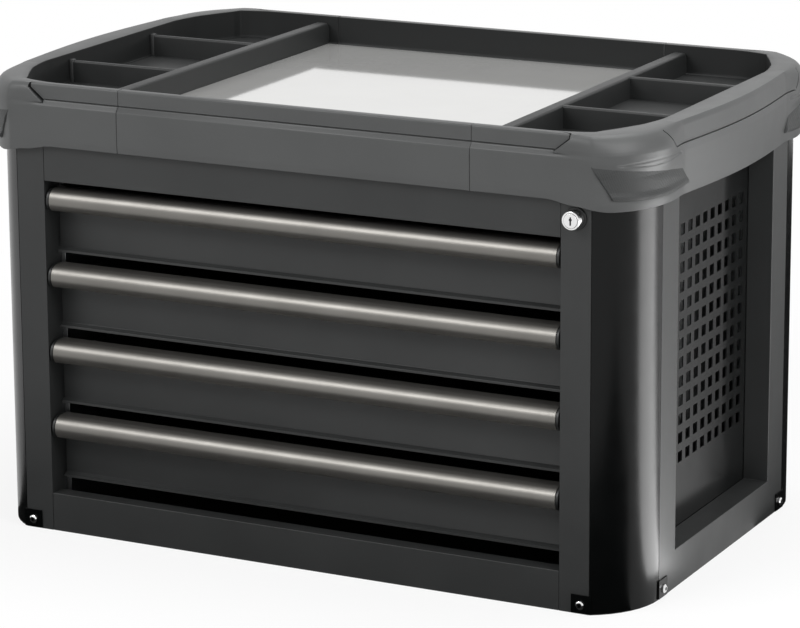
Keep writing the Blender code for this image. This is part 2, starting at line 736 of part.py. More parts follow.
def build_worktop():
    """Flat sheet with its front and rear edges hemmed down onto the rails."""
    edge = HALF_DEPTH - RIM_INSET - FIT
    hem = FLOOR_TOP - TRAY_UNDERSIDE
    line = [
        (-edge + WORKTOP_HEM, FLOOR_TOP - hem),
        (-edge, FLOOR_TOP - hem),
        (-edge, FLOOR_TOP),
        (edge, FLOOR_TOP),
        (edge, FLOOR_TOP - hem),
        (edge - WORKTOP_HEM, FLOOR_TOP - hem),
    ]
    reach = DIVIDER_INNER - FIT
    return prism("worktop_plate", folded_outline(line, hem / 3.0), "X", -reach, reach, WORKTOP_STEEL)


# Drawers


def grip_top(number):
    return FIRST_GRIP_TOP - number * DRAWER_PITCH


def drawer_origin(number):
    return (0.0, GRIP_BACK, grip_top(number))


def build_drawer(number, name):
    """Open tub with its front, the front's folded lip, the drawer slides and the lock catch."""
    top = grip_top(number)
    tub_rear = TUB_FRONT + TUB_DEPTH
    floor, rim = top - TUB_BOTTOM_DROP, top - TUB_TOP_DROP
    drawer = box(name, (-TUB_HALF, TUB_FRONT, floor), (TUB_HALF, tub_rear, rim), POWDER_COAT)
    cut(drawer, box(
        "inside",
        (-TUB_HALF + TUB_SHEET, TUB_FRONT + TUB_SHEET, floor + TUB_SHEET),
        (TUB_HALF - TUB_SHEET, tub_rear - TUB_SHEET, rim + OVERRUN),
    ))
    line = [
        (FRONT_FACE - LIP_REACH, top - LIP_DROP - LIP_FALL),
        (FRONT_FACE - LIP_REACH, top - LIP_DROP - LIP_FALL / 2.0),
        (FRONT_FACE, top - LIP_DROP),
        (FRONT_FACE, top - FRONT_TOP_DROP),
    ]
    join(drawer, prism("front", folded_outline(line, FRONT_SHEET), "X", -FRONT_HALF, FRONT_HALF))
    middle = top - SLIDE_DROP
    half_height = SLIDE_HALF_HEIGHT - 2.0 * (SLIDE_WALL + RUN)
    start = FRONT_REAR + SLIDE_START
    _, middle_slide_web = middle_slide_faces()
    drawer_slide_face = middle_slide_web - SLIDE_WALL - RUN
    for side in (1, -1):
        ends = sorted((side * (TUB_HALF - TUB_SHEET / 2.0), side * drawer_slide_face))
        join(drawer, box(
            "drawer_slide",
            (ends[0], start, middle - half_height),
            (ends[1], start + SLIDE_LENGTH, middle + half_height),
        ))
    catch_foot = top - CATCH_DROP
    catch_front = FRONT_REAR + BAR_WALL + CATCH_ROOM
    join(drawer, box(
        "catch",
        (TUB_HALF - TUB_SHEET / 2.0, catch_front, catch_foot),
        (TUB_HALF + CATCH_REACH, catch_front + CATCH_LENGTH, catch_foot + CATCH_HEIGHT),
    ))
    set_origin(drawer, drawer_origin(number))
    return drawer


def grip_line(number):
    """Outer line of the grip's section: back, top, then the rounded front down to its free edge."""
    top = grip_top(number)
    centre = (GRIP_BACK - FIT - GRIP_RADIUS + GRIP_WALL, top - GRIP_RADIUS)
    arc = arc_points(centre, GRIP_RADIUS, math.radians(90.0), math.radians(GRIP_SWEEP), GRIP_ARC_STEPS)
    return [(GRIP_BACK, top - GRIP_BACK_HEIGHT), (GRIP_BACK, top)] + arc


def build_handle(number, name):
    outline = folded_outline(grip_line(number)[::-1], GRIP_WALL)
    handle = prism(name, outline, "X", -GRIP_HALF, GRIP_HALF, BRUSHED_GRIP)
    smooth(handle)
    set_origin(handle, drawer_origin(number))
    return handle


def build_cap(number, side, name):
    ends = sorted((side * (GRIP_HALF + FIT), side * (GRIP_HALF + FIT + CAP_WALL)))
    cap = prism(name, grip_line(number), "X", ends[0], ends[1], CAP_PLASTIC)
    set_origin(cap, drawer_origin(number))
    return cap


def middle_slide_faces():
    """Where the middle slide's lips end, beside the drawer, and where its web stands, beside the rail."""
    return TUB_HALF + RAIL_STEM, RACK_PLACE - RAIL_STEM - RUN


def build_middle_slide(number, side, name):
    """Channel that runs between the drawer's slide and the fixed rail."""
    inner, outer = middle_slide_faces()
    middle = grip_top(number) - SLIDE_DROP
    half_height = SLIDE_HALF_HEIGHT - SLIDE_WALL - RUN
    line = [
        (inner, middle - half_height),
        (outer, middle - half_height),
        (outer, middle + half_height),
        (inner, middle + half_height),
    ]
    outline = mirrored(folded_outline(line[::-1], SLIDE_WALL), side)
    start = FRONT_REAR + SLIDE_START
    slide = prism(name, outline, "Y", start, start + SLIDE_LENGTH, ZINC_STEEL)
    set_origin(slide, drawer_origin(number))
    return slide


def build_runner_rack(side, name):
    """Upright sheet between post and rear panel that carries a fixed rail for each drawer."""
    front = -HALF_DEPTH + JAMB_DEPTH + FIT
    rear = HALF_DEPTH - SHEET - FIT
    line = [
        (RACK_PLACE + RACK_FLANGE, front),
        (RACK_PLACE, front),
        (RACK_PLACE, rear),
        (RACK_PLACE + RACK_FLANGE, rear),
    ]
    outline = mirrored(folded_outline(line, SHEET), side)
    rack = prism(name, outline, "Z", SHEET + FIT, SHELL_TOP - RAIL_FOLD, ZINC_STEEL)
    lip, _ = middle_slide_faces()
    start = FRONT_REAR + SLIDE_START
    for number in range(DRAWER_COUNT):
        middle = grip_top(number) - SLIDE_DROP
        web = RACK_PLACE + SINK
        line = [
            (lip, middle - SLIDE_HALF_HEIGHT),
            (web, middle - SLIDE_HALF_HEIGHT),
            (web, middle + SLIDE_HALF_HEIGHT),
            (lip, middle + SLIDE_HALF_HEIGHT),
        ]
        rail = mirrored(channel_outline(line, SLIDE_WALL, RAIL_STEM + SINK), side)
        join(rack, prism("rail", rail, "Y", start, start + SLIDE_LENGTH))
    return rack


def channel_outline(line, lip_wall, stem):
    """Section of a fixed rail: two lips and a stem of its own thickness."""
    (lip, low), (web, _), (_, high), _ = line
    return [
        (lip, low), (web, low), (web, high), (lip, high),
        (lip, high - lip_wall), (web - stem, high - lip_wall),
        (web - stem, low + lip_wall), (lip, low + lip_wall),
    ]


# Lock


def bar_front():
    return RETURN_FRONT - FIT - BAR_WALL


def turned(name, profile, finish):
    """Revolves a closed profile of (radius, depth) about the lock's axis."""
    shape = bmesh.new()
    ring = [
        shape.verts.new((LOCK_PLACE + radius, depth, LOCK_HEIGHT)) for radius, depth in profile
    ]
    edges = [shape.edges.new((ring[index - 1], ring[index])) for index in range(len(ring))]
    bmesh.ops.spin(
        shape, geom=ring + edges, cent=(LOCK_PLACE, 0.0, LOCK_HEIGHT), axis=(0.0, 1.0, 0.0),
        angle=2.0 * math.pi, steps=LOCK_SIDES, use_merge=True, use_duplicate=False,
    )
    item = add_object(name, shape, finish)
    smooth(item)
    return item


def lock_front():
    return -HALF_DEPTH - FIT - LOCK_PROUD


def build_lock_housing():
    collar_back = -HALF_DEPTH - FIT
    bore = PLUG_RADIUS + FIT
    tail = bar_front() - BAR_WALL
    profile = [
        (bore, lock_front()),
        (LOCK_RADIUS, lock_front()),
        (LOCK_RADIUS, collar_back - LOCK_COLLAR),
        (LOCK_COLLAR_RADIUS, collar_back - LOCK_COLLAR),
        (LOCK_COLLAR_RADIUS, collar_back),
        (LOCK_RADIUS, collar_back),
        (LOCK_RADIUS, tail),
        (bore, tail),
    ]
    return turned("lock_housing", profile, CHROME)


def build_lock_core():
    """Plug with its keyhole in front and the crank pin that lifts the locking bar behind."""
    tail = bar_front() - FIT - RUN
    front = lock_front() - PLUG_PROUD
    core = cylinder("lock_core", PLUG_RADIUS, (LOCK_PLACE, LOCK_HEIGHT), "Y", front, tail, LOCK_SIDES)
    core.data.materials.append(finish_material("lock_core", CHROME))
    cut(core, box(
        "keyhole",
        (LOCK_PLACE - KEYHOLE_WIDTH / 2.0, front - OVERRUN, LOCK_HEIGHT - KEYHOLE_HEIGHT / 2.0),
        (LOCK_PLACE + KEYHOLE_WIDTH / 2.0, front + KEYHOLE_DEPTH, LOCK_HEIGHT + KEYHOLE_HEIGHT / 2.0),
    ))
    pin = (
        LOCK_PLACE + CRANK_THROW * math.cos(math.radians(CRANK_START)),
        LOCK_HEIGHT + CRANK_THROW * math.sin(math.radians(CRANK_START)),
    )
    join(core, cylinder("pin", CRANK_PIN_RADIUS, pin, "Y", tail - BAR_WALL, RETURN_FRONT - FIT, SCREW_SIDES))
    smooth(core)
    set_origin(core, (LOCK_PLACE, -HALF_DEPTH, LOCK_HEIGHT))
    return core


def build_locking_bar():
    """Upright bar behind the right post: a crank slot at the lock and a tongue for each drawer."""
    front, back = bar_front(), RETURN_FRONT - FIT
    low_pin = LOCK_HEIGHT + CRANK_THROW * math.sin(math.radians(CRANK_START))
    top = LOCK_HEIGHT + BAR_TOP_ROOM
    bar = box(
        "locking_bar",
        (LOCK_PLACE - BAR_HALF_WIDTH, front, BAR_BOTTOM),
        (LOCK_PLACE + BAR_HALF_WIDTH + CRANK_PIN_RADIUS, back, top),
        ZINC_STEEL,
    )
    near = LOCK_PLACE + CRANK_THROW * math.cos(math.radians(CRANK_START)) - CRANK_PIN_RADIUS - RUN
    far = LOCK_PLACE + CRANK_THROW + CRANK_PIN_RADIUS + RUN
    cut(bar, box(
        "crank_slot",
        (near, front - OVERRUN, low_pin - CRANK_PIN_RADIUS - RUN),
        (far, back + OVERRUN, low_pin + CRANK_PIN_RADIUS + RUN),
    ))
    for number in range(DRAWER_COUNT):
        foot = grip_top(number) - TONGUE_DROP
        join(bar, box(
            "tongue",
            (LOCK_PLACE - TONGUE_REACH, front + FIT, foot),
            (LOCK_PLACE, back - FIT, foot + TONGUE_HEIGHT),
        ))
    set_origin(bar, (LOCK_PLACE, front, LOCK_HEIGHT))
    return bar


def build_cabinet():
    build_bottom_panel()
    build_rear_panel()
    build_top_rail()
    build_bottom_rail()
    build_post(-1, "left_post")
    cut_lock_openings(build_post(1, "right_post"))
    for side, side_name in ((-1, "left"), (1, "right")):
        build_side_frame(side, f"{side_name}_side_frame")
        build_perforated_panel(side, f"{side_name}_perforated_panel")
        build_runner_rack(side, f"{side_name}_runner_rack")
        for end, end_name in ((-1, "front"), (1, "rear")):
            corner = f"{end_name}_{side_name}"
            build_corner_cover(side, end, f"{corner}_corner_cover")
            build_bumper(side, end, f"{corner}_bumper")
            build_screw(f"{corner}_{end_name}_screw", "Y", side * (FRONT_SEAM - SCREW_INSET),
                        end * HALF_DEPTH, end)
            build_screw(f"{corner}_side_screw", "X", end * (SIDE_SEAM - SCREW_INSET),
                        side * HALF_WIDTH, side)


def build_top():
    build_end_tray(-1, "left_end_tray")
    build_end_tray(1, "right_end_tray")
    build_fascia(-1, "front_fascia")
    build_fascia(1, "rear_fascia")
    build_worktop()


def build_drawers():
    for number in range(DRAWER_COUNT):
        name = f"drawer_{number + 1}"
        build_drawer(number, name)
        build_handle(number, f"{name}_handle")
        for side, side_name in ((-1, "left"), (1, "right")):
            build_cap(number, side, f"{name}_{side_name}_cap")
            build_middle_slide(number, side, f"{name}_{side_name}_slide")


def build_lock():
    build_lock_housing()
    build_lock_core()
    build_locking_bar()


clear_scene()
build_cabinet()
build_top()
build_drawers()
build_lock()
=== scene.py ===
"""Looks of a bench-top tool chest: finishes, fine surfaces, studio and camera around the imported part.

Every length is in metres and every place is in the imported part's own frame: +Z up, the drawers
towards -Y, the origin on the floor under the middle of the chest.
"""

from __future__ import annotations

import json
import logging
import math
from dataclasses import dataclass, field
from enum import Enum

import bmesh
import bpy
import numpy as np
from mathutils import Matrix, Vector

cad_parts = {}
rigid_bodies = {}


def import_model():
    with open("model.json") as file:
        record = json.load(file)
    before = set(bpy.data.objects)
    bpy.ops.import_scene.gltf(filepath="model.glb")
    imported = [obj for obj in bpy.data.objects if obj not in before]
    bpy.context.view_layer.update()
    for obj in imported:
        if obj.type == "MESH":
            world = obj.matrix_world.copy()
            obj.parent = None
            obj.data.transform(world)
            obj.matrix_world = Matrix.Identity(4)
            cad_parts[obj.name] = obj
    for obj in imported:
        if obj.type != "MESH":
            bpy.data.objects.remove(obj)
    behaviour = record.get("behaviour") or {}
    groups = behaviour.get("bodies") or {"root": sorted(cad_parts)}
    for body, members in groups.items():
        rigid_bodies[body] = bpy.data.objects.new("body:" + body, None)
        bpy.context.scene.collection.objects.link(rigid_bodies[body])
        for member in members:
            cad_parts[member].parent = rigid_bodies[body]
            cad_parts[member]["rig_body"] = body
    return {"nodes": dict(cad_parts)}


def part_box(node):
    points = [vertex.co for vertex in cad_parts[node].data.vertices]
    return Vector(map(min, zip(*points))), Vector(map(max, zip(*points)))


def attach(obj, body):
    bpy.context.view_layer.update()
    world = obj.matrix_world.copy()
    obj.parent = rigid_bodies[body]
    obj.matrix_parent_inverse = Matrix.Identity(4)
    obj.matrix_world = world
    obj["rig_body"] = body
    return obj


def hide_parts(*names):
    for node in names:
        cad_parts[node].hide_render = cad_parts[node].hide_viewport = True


LOG = logging.getLogger("tool_chest")
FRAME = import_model()
MERGE = 1e-5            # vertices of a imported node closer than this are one
DRAWERS = ("drawer_1", "drawer_2", "drawer_3", "drawer_4")


class Side(Enum):
    """The two ends of the chest, by the sign of X."""

    LEFT = -1
    RIGHT = 1

    @property
    def word(self) -> str:
        """The side's word in node names."""
        return self.name.lower()


class End(Enum):
    """Front and rear, by the sign of Y."""

    FRONT = -1
    REAR = 1

    @property
    def word(self) -> str:
        """The end's word in node names."""
        return self.name.lower()


# Shader and mesh helpers


def linear(code: str) -> tuple[float, float, float, float]:
    """Turns an sRGB hex colour into linear values.

    Args:
        code: the colour as "#rrggbb".

    Returns:
        Linear red, green and blue, and an alpha of 1.
    """
    values = []
    for start in (1, 3, 5):
        value = int(code[start:start + 2], 16) / 255.0
        values.append(value / 12.92 if value <= 0.04045 else ((value + 0.055) / 1.055) ** 2.4)
    return (values[0], values[1], values[2], 1.0)


def add_node(
    tree: bpy.types.NodeTree,
    kind: str,
    settings: dict[str, object] | None = None,
    values: dict[int | str, object] | None = None,
    sources: dict[int | str, bpy.types.NodeSocket] | None = None,
) -> bpy.types.Node:
    """Adds one node with its settings, input values and links.

    Args:
        tree: the tree that gets the node.
        kind: the node's type name.
        settings: attributes of the node.
        values: default values, by input name or number.
        sources: output sockets to link, by input name or number.

    Returns:
        The new node.
    """
    made = tree.nodes.new(kind)
    for name, value in (settings or {}).items():
        setattr(made, name, value)
    for key, value in (values or {}).items():
        made.inputs[key].default_value = value
    for key, socket in (sources or {}).items():
        tree.links.new(socket, made.inputs[key])
    return made


def new_piece(name: str, mesh: bpy.types.Mesh, material: bpy.types.Material) -> bpy.types.Object:
    """Links a mesh as an object at the origin, with one material.

    Args:
        name: the piece's name.
        mesh: its mesh, already in place.
        material: its finish.

    Returns:
        The object.
    """
    mesh.name = name
    mesh.materials.clear()
    mesh.materials.append(material)
    for polygon in mesh.polygons:
        polygon.material_index = 0
    piece = bpy.data.objects.new(name, mesh)
    bpy.context.scene.collection.objects.link(piece)
    return piece


def mesh_from(shape: bmesh.types.BMesh, name: str) -> bpy.types.Mesh:
    """Turns a bmesh into a mesh and frees it."""
    mesh = bpy.data.meshes.new(name)
    shape.to_mesh(mesh)
    shape.free()
    return mesh


def shade(mesh: bpy.types.Mesh, angle: float = 30.0) -> bpy.types.Mesh:
    """Shades a mesh smooth, apart from edges sharper than the angle in degrees."""
    mesh.shade_smooth()
    mesh.set_sharp_from_angle(angle=math.radians(angle))
    return mesh


def evaluated_mesh(piece: bpy.types.Object) -> bpy.types.Mesh:
    """The mesh that an object's modifiers make, as a mesh of its own."""
    graph = bpy.context.evaluated_depsgraph_get()
    return bpy.data.meshes.new_from_object(piece.evaluated_get(graph), depsgraph=graph)


def rounded(piece: bpy.types.Object, width: float, segments: int = 2, angle: float = 30.0) -> None:
    """Rounds a piece's sharp edges and keeps its flat faces flat in the light.

    Args:
        piece: the object, whose mesh is replaced.
        width: width of the rounding.
        segments: steps across it.
        angle: edges sharper than this, in degrees, are rounded.
    """
    shade(piece.data, angle)
    bevel = piece.modifiers.new("edge", "BEVEL")
    bevel.width = width
    bevel.segments = segments
    bevel.limit_method = "ANGLE"
    bevel.angle_limit = math.radians(angle)
    bevel.harden_normals = True
    bevel.use_clamp_overlap = True
    mesh = evaluated_mesh(piece)
    piece.modifiers.remove(bevel)
    mesh.name = piece.name
    piece.data = mesh


def softened(node: str, material: bpy.types.Material, width: float, segments: int = 2) -> bpy.types.Object:
    """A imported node's own shape with its edges rounded, standing for that node.

    Args:
        node: the node's name.
        material: its finish.
        width: width of the edge rounding.
        segments: steps across the rounding.

    Returns:
        The piece, which rides on the node's body.
    """
    source = FRAME["nodes"][node]
    shape = bmesh.new()
    shape.from_mesh(source.data)
    bmesh.ops.remove_doubles(shape, verts=shape.verts[:], dist=MERGE)
    bmesh.ops.dissolve_limit(
        shape, angle_limit=math.radians(0.5), verts=shape.verts[:], edges=shape.edges[:]
    )
    piece = new_piece(f"{node}_shown", mesh_from(shape, node), material)
    rounded(piece, width, segments)
    return stand_for(piece, node)


def stand_for(piece: bpy.types.Object, *nodes: str) -> bpy.types.Object:
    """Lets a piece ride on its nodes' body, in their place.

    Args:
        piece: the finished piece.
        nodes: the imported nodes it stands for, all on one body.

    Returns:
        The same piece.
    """
    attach(piece, FRAME["nodes"][nodes[0]]["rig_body"])
    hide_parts(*nodes)
    LOG.info("%s stands for %s", piece.name, ", ".join(nodes))
    return piece


def beside(piece: bpy.types.Object, node: str) -> bpy.types.Object:
    """Lets a piece ride on a node's body, beside the piece that stands for it."""
    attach(piece, FRAME["nodes"][node]["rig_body"])
    LOG.info("%s belongs to %s", piece.name, node)
    return piece


# Finishes


@dataclass(frozen=True)
class Finish:
    """What every finish has: a name, an sRGB colour, a roughness and how metallic it is."""

    name: str
    colour: str
    roughness: float
    metallic: float = 0.0

    def detail(
        self, tree: bpy.types.NodeTree, shader: bpy.types.Node, place: bpy.types.NodeSocket
    ) -> None:
        """Adds what the finish has beyond its plain shader.

        Args:
            tree: the material's tree.
            shader: its Principled shader.
            place: the object coordinates, in metres.
        """

    def build(self) -> bpy.types.Material:
        """Makes the material.

        Returns:
            The material, with its detail.
        """
        material = bpy.data.materials.new(self.name)
        material.use_nodes = True
        tree = material.node_tree
        shader = tree.nodes["Principled BSDF"]
        shader.inputs["Base Color"].default_value = linear(self.colour)
        shader.inputs["Roughness"].default_value = self.roughness
        shader.inputs["Metallic"].default_value = self.metallic
        self.detail(tree, shader, add_node(tree, "ShaderNodeTexCoord").outputs["Object"])
        return material


def noise(
    tree: bpy.types.NodeTree,
    place: bpy.types.NodeSocket,
    size: float,
    stretch: tuple[float, float, float] = (1.0, 1.0, 1.0),
    octaves: float = 2.0,
) -> bpy.types.NodeSocket:
    """Adds a noise whose grains have a real size.

    Args:
        tree: the material's tree.
        place: object coordinates.
        size: width of a grain, in metres.
        stretch: how much longer a grain is along each axis.
        octaves: levels of finer noise in it.

    Returns:
        The noise, from 0 to 1.
    """
    scale = tuple(1.0 / (size * share) for share in stretch)
    mapped = add_node(tree, "ShaderNodeMapping", values={"Scale": scale}, sources={"Vector": place})
    grain = add_node(
        tree, "ShaderNodeTexNoise", values={"Scale": 1.0, "Detail": octaves, "Roughness": 0.55},
        sources={"Vector": mapped.outputs[0]},
    )
    return grain.outputs["Fac"]


def vary_colour(
    tree: bpy.types.NodeTree, shader: bpy.types.Node, mask: bpy.types.NodeSocket, first: str, second: str
) -> None:
    """Lets a mask from 0.3 to 0.7 mix two sRGB colours into the shader's colour."""
    share = add_node(
        tree, "ShaderNodeMapRange", values={"From Min": 0.3, "From Max": 0.7}, sources={"Value": mask}
    )
    mixed = add_node(
        tree, "ShaderNodeMix", {"data_type": "RGBA"}, {6: linear(first), 7: linear(second)},
        {0: share.outputs[0]},
    )
    tree.links.new(mixed.outputs[2], shader.inputs["Base Color"])


def vary_roughness(
    tree: bpy.types.NodeTree, shader: bpy.types.Node, mask: bpy.types.NodeSocket, low: float, high: float
) -> None:
    """Lets a mask from 0.3 to 0.7 move the shader's roughness between two values."""
    share = add_node(
        tree, "ShaderNodeMapRange",
        values={"From Min": 0.3, "From Max": 0.7, "To Min": low, "To Max": high},
        sources={"Value": mask},
    )
    tree.links.new(share.outputs[0], shader.inputs["Roughness"])


def emboss(
    tree: bpy.types.NodeTree,
    shader: bpy.types.Node,
    heights: list[tuple[bpy.types.NodeSocket, float, float]],
) -> None:
    """Lays a surface's relief on the shader, the finer grains on the coarser ones.

    Args:
        tree: the material's tree.
        shader: its Principled shader.
        heights: for each relief, the coarsest first, its mask, what 1 stands for in metres, and how
            much of it shows.
    """
    below: dict[int | str, bpy.types.NodeSocket] = {}
    for height, depth, strength in heights:
        relief = add_node(
            tree, "ShaderNodeBump", values={"Strength": strength, "Distance": depth},
            sources={"Height": height, **below},
        )
        below = {"Normal": relief.outputs[0]}
    tree.links.new(below["Normal"], shader.inputs["Normal"])


@dataclass(frozen=True)
class PowderCoat(Finish):
    """Polyester powder coat on sheet steel: satin, with the soft peel that the melted powder leaves."""

    lighter: str = "#3c3d3d"
    reflection: float = 0.4
    peel: float = 0.0016
    peel_depth: float = 0.000012
    cloud: float = 0.12

    def detail(
        self, tree: bpy.types.NodeTree, shader: bpy.types.Node, place: bpy.types.NodeSocket
    ) -> None:
        """Adds a faint unevenness of shade and gloss, and the peel."""
        shader.inputs["Specular IOR Level"].default_value = self.reflection
        vary_colour(tree, shader, noise(tree, place, self.cloud, octaves=4.0), self.colour, self.lighter)
        vary_roughness(
            tree, shader, noise(tree, place, self.cloud / 3.0), self.roughness - 0.03, self.roughness + 0.03
        )
        emboss(tree, shader, [(noise(tree, place, self.peel), self.peel_depth, 0.5)])


@dataclass(frozen=True)
class GlossPlastic(Finish):
    """Co-extruded ABS cover with a polished skin: near black, with clean reflections."""

    reflection: float = 0.5
    wave: float = 0.05
    wave_depth: float = 0.00005

    def detail(
        self, tree: bpy.types.NodeTree, shader: bpy.types.Node, place: bpy.types.NodeSocket
    ) -> None:
        """Adds the long faint waves of an extruded skin and a trace of handling in its gloss."""
        shader.inputs["Specular IOR Level"].default_value = self.reflection
        vary_roughness(
            tree, shader, noise(tree, place, 0.03, octaves=5.0), self.roughness, self.roughness + 0.05
        )
        emboss(tree, shader, [(noise(tree, place, self.wave, (1.0, 1.0, 8.0)), self.wave_depth, 0.25)])


@dataclass(frozen=True)
class MouldedPlastic(Finish):
    """Injection-moulded ABS: a spark-eroded mould leaves an even fine grain that scatters light."""

    lighter: str = "#747676"
    reflection: float = 0.4
    grain: float = 0.0007
    grain_depth: float = 0.00004
    cloud: float = 0.09
    # painted shade: the inner colour darkens the faces that look into the tray
    inner: str = ""                 # colour of the faces that look into the tray

    def detail(
        self, tree: bpy.types.NodeTree, shader: bpy.types.Node, place: bpy.types.NodeSocket
    ) -> None:
        """Adds the grain and the faint flow marks of the moulding, and painted shade on the faces that look into
        the tray.
        """
        shader.inputs["Specular IOR Level"].default_value = self.reflection
        vary_colour(tree, shader, noise(tree, place, self.cloud, octaves=4.0), self.colour, self.lighter)
        vary_roughness(
            tree, shader, noise(tree, place, self.cloud / 2.0), self.roughness - 0.04, self.roughness + 0.04
        )
        emboss(tree, shader, [
            (noise(tree, place, 0.04), 0.0002, 0.15),
            (noise(tree, place, self.grain), self.grain_depth, 0.5),
        ])
        if self.inner:
            self.darken_inside(tree, shader, place)

    def darken_inside(
        self, tree: bpy.types.NodeTree, shader: bpy.types.Node, place: bpy.types.NodeSocket
    ) -> None:
        """Paints shade on the faces that look into the tray: a darker colour and a weaker reflection there."""
        facing = add_node(tree, "ShaderNodeNewGeometry").outputs["Normal"]
        level = add_node(
            tree, "ShaderNodeVectorMath", {"operation": "MULTIPLY"}, {1: (1.0, 1.0, 0.0)}, {0: place}
        )
        lean = add_node(
            tree, "ShaderNodeVectorMath", {"operation": "DOT_PRODUCT"}, sources={0: level.outputs[0], 1: facing}
        )
        # painted shade: 1 on faces that look in towards the tray's middle
        inside = add_node(
            tree, "ShaderNodeMapRange", values={"From Min": -0.03, "From Max": -0.15},
            sources={"Value": lean.outputs["Value"]},
        )
        outer = shader.inputs["Base Color"].links[0].from_socket
        mixed = add_node(
            tree, "ShaderNodeMix", {"data_type": "RGBA"}, {7: linear(self.inner)},
            {0: inside.outputs[0], 6: outer},
        )
        tree.links.new(mixed.outputs[2], shader.inputs["Base Color"])
        dull = add_node(
            tree, "ShaderNodeMapRange",
            values={"To Min": self.reflection, "To Max": self.reflection * 0.3},
            sources={"Value": inside.outputs[0]},
        )
        tree.links.new(dull.outputs[0], shader.inputs["Specular IOR Level"])


@dataclass(frozen=True)
class TexturedPad(Finish):
    """Thermoplastic rubber pad: matt, with rows of tiny raised grains from an etched mould."""

    pitch: float = 0.0021       # drawn about twice as coarse as it is, so that it shows
    dot_depth: float = 0.0006
    reflection: float = 0.2

    def detail(
        self, tree: bpy.types.NodeTree, shader: bpy.types.Node, place: bpy.types.NodeSocket
    ) -> None:
        """Adds the raised grains on a slanted lattice and a dusty unevenness."""
        shader.inputs["Specular IOR Level"].default_value = self.reflection
        vary_roughness(tree, shader, noise(tree, place, 0.02), self.roughness - 0.05, self.roughness + 0.05)
        scale = 1.0 / self.pitch
        turned = add_node(
            tree, "ShaderNodeMapping",
            values={"Rotation": (math.radians(45.0), math.radians(35.0), 0.0), "Scale": (scale, scale, scale)},
            sources={"Vector": place},
        )
        dots = add_node(
            tree, "ShaderNodeTexVoronoi", {"feature": "SMOOTH_F1"},
            {"Scale": 1.0, "Smoothness": 0.3, "Randomness": 0.25}, {"Vector": turned.outputs[0]},
        )
        emboss(tree, shader, [(dots.outputs["Distance"], self.dot_depth, 0.6)])


@dataclass(frozen=True)
class DrawnMetal(Finish):
    """Metal drawn or rolled along one axis: fine lines along it spread the highlight across it."""

    lighter: str = "#d8d6d0"
    along: tuple[float, float, float] = (60.0, 1.0, 1.0)
    line: float = 0.0006
    line_depth: float = 0.00001
    spread: float = 0.05
    smudge: float = 0.06

    def detail(
        self, tree: bpy.types.NodeTree, shader: bpy.types.Node, place: bpy.types.NodeSocket
    ) -> None:
        """Adds the drawing lines and a faint cloudiness."""
        lines = noise(tree, place, self.line, self.along, 3.0)
        vary_colour(tree, shader, noise(tree, place, self.smudge, octaves=4.0), self.colour, self.lighter)
        vary_roughness(tree, shader, lines, self.roughness - self.spread, self.roughness + self.spread)
        emboss(tree, shader, [(lines, self.line_depth, 0.4)])


@dataclass(frozen=True)
class Plated(Finish):
    """Electroplated metal: bright, with only the faint unevenness of the ground below it."""

    ripple: float = 0.002

    def detail(
        self, tree: bpy.types.NodeTree, shader: bpy.types.Node, place: bpy.types.NodeSocket
    ) -> None:
        """Adds a trace of unevenness in gloss and level."""
        vary_roughness(
            tree, shader, noise(tree, place, self.ripple * 3.0), self.roughness, self.roughness + 0.06
        )
        emboss(tree, shader, [(noise(tree, place, self.ripple), 0.00001, 0.2)])


@dataclass
class Finishes:
    """One material for each real finish of the chest, and a darker copy of the moulding as painted shade in the
    tray's pockets.
    """

    powder_coat: bpy.types.Material = field(default_factory=PowderCoat(
        "powder_coated_steel", "#292a2a", 0.42, lighter="#2e2f2f", reflection=0.35).build)
    perforated_coat: bpy.types.Material = field(default_factory=PowderCoat(
        "powder_coated_punched_sheet", "#181919", 0.20, lighter="#1b1c1c", reflection=0.16).build)
    cover: bpy.types.Material = field(default_factory=GlossPlastic(
        "polished_black_cover", "#040505", 0.20, reflection=0.20).build)
    # painted shade: the moulding's faces that look into the tray get a darker inner colour and less reflection
    moulding: bpy.types.Material = field(default_factory=MouldedPlastic(
        "grained_grey_moulding", "#434444", 0.46, lighter="#484949", inner="#1c1d1d").build)
    # painted shade: the pockets' floor, divider and ribs are the rim's moulding, made darker for the shade in them
    pocket: bpy.types.Material = field(default_factory=MouldedPlastic(
        "grained_dark_moulding", "#232424", 0.46, lighter="#262727", reflection=0.3).build)
    pad: bpy.types.Material = field(default_factory=TexturedPad(
        "textured_grey_pad", "#3a3b3b", 0.55).build)
    grip: bpy.types.Material = field(default_factory=DrawnMetal(
        "dark_anodised_grip_rail", "#6f6d69", 0.36, metallic=0.8, lighter="#777571").build)
    cap: bpy.types.Material = field(default_factory=MouldedPlastic(
        "moulded_black_cap", "#141515", 0.40, lighter="#181919").build)
    worktop: bpy.types.Material = field(default_factory=DrawnMetal(
        "bright_steel_worktop", "#c8c8c6", 0.06, metallic=0.5, lighter="#cbcbc9", spread=0.01,
        along=(1.0, 60.0, 1.0)).build)
    zinc: bpy.types.Material = field(default_factory=DrawnMetal(
        "zinc_plated_steel", "#a8aaab", 0.34, metallic=1.0, lighter="#b6b8b8", along=(1.0, 40.0, 1.0)).build)
    chrome: bpy.types.Material = field(default_factory=Plated(
        "bright_chrome", "#e6e6e6", 0.10, metallic=1.0).build)


# Cabinet


@dataclass
class Cabinet:
    """The folded sheet-steel body: panels, posts, rails and side frames."""

    finishes: Finishes
    fold: float = 0.0006        # the small outside radius of a sharp fold

    def build(self) -> None:
        """Rounds the folds of every sheet and coats it."""
        sheets = ["bottom_panel", "rear_panel", "top_rail", "bottom_rail"]
        for side in Side:
            sheets += [f"{side.word}_post", f"{side.word}_side_frame"]
        for node in sheets:
            softened(node, self.finishes.powder_coat, self.fold)
        for side in Side:
            PerforatedPanel(side, self.finishes.perforated_coat).build()
            softened(f"{side.word}_runner_rack", self.finishes.zinc, self.fold / 2.0)


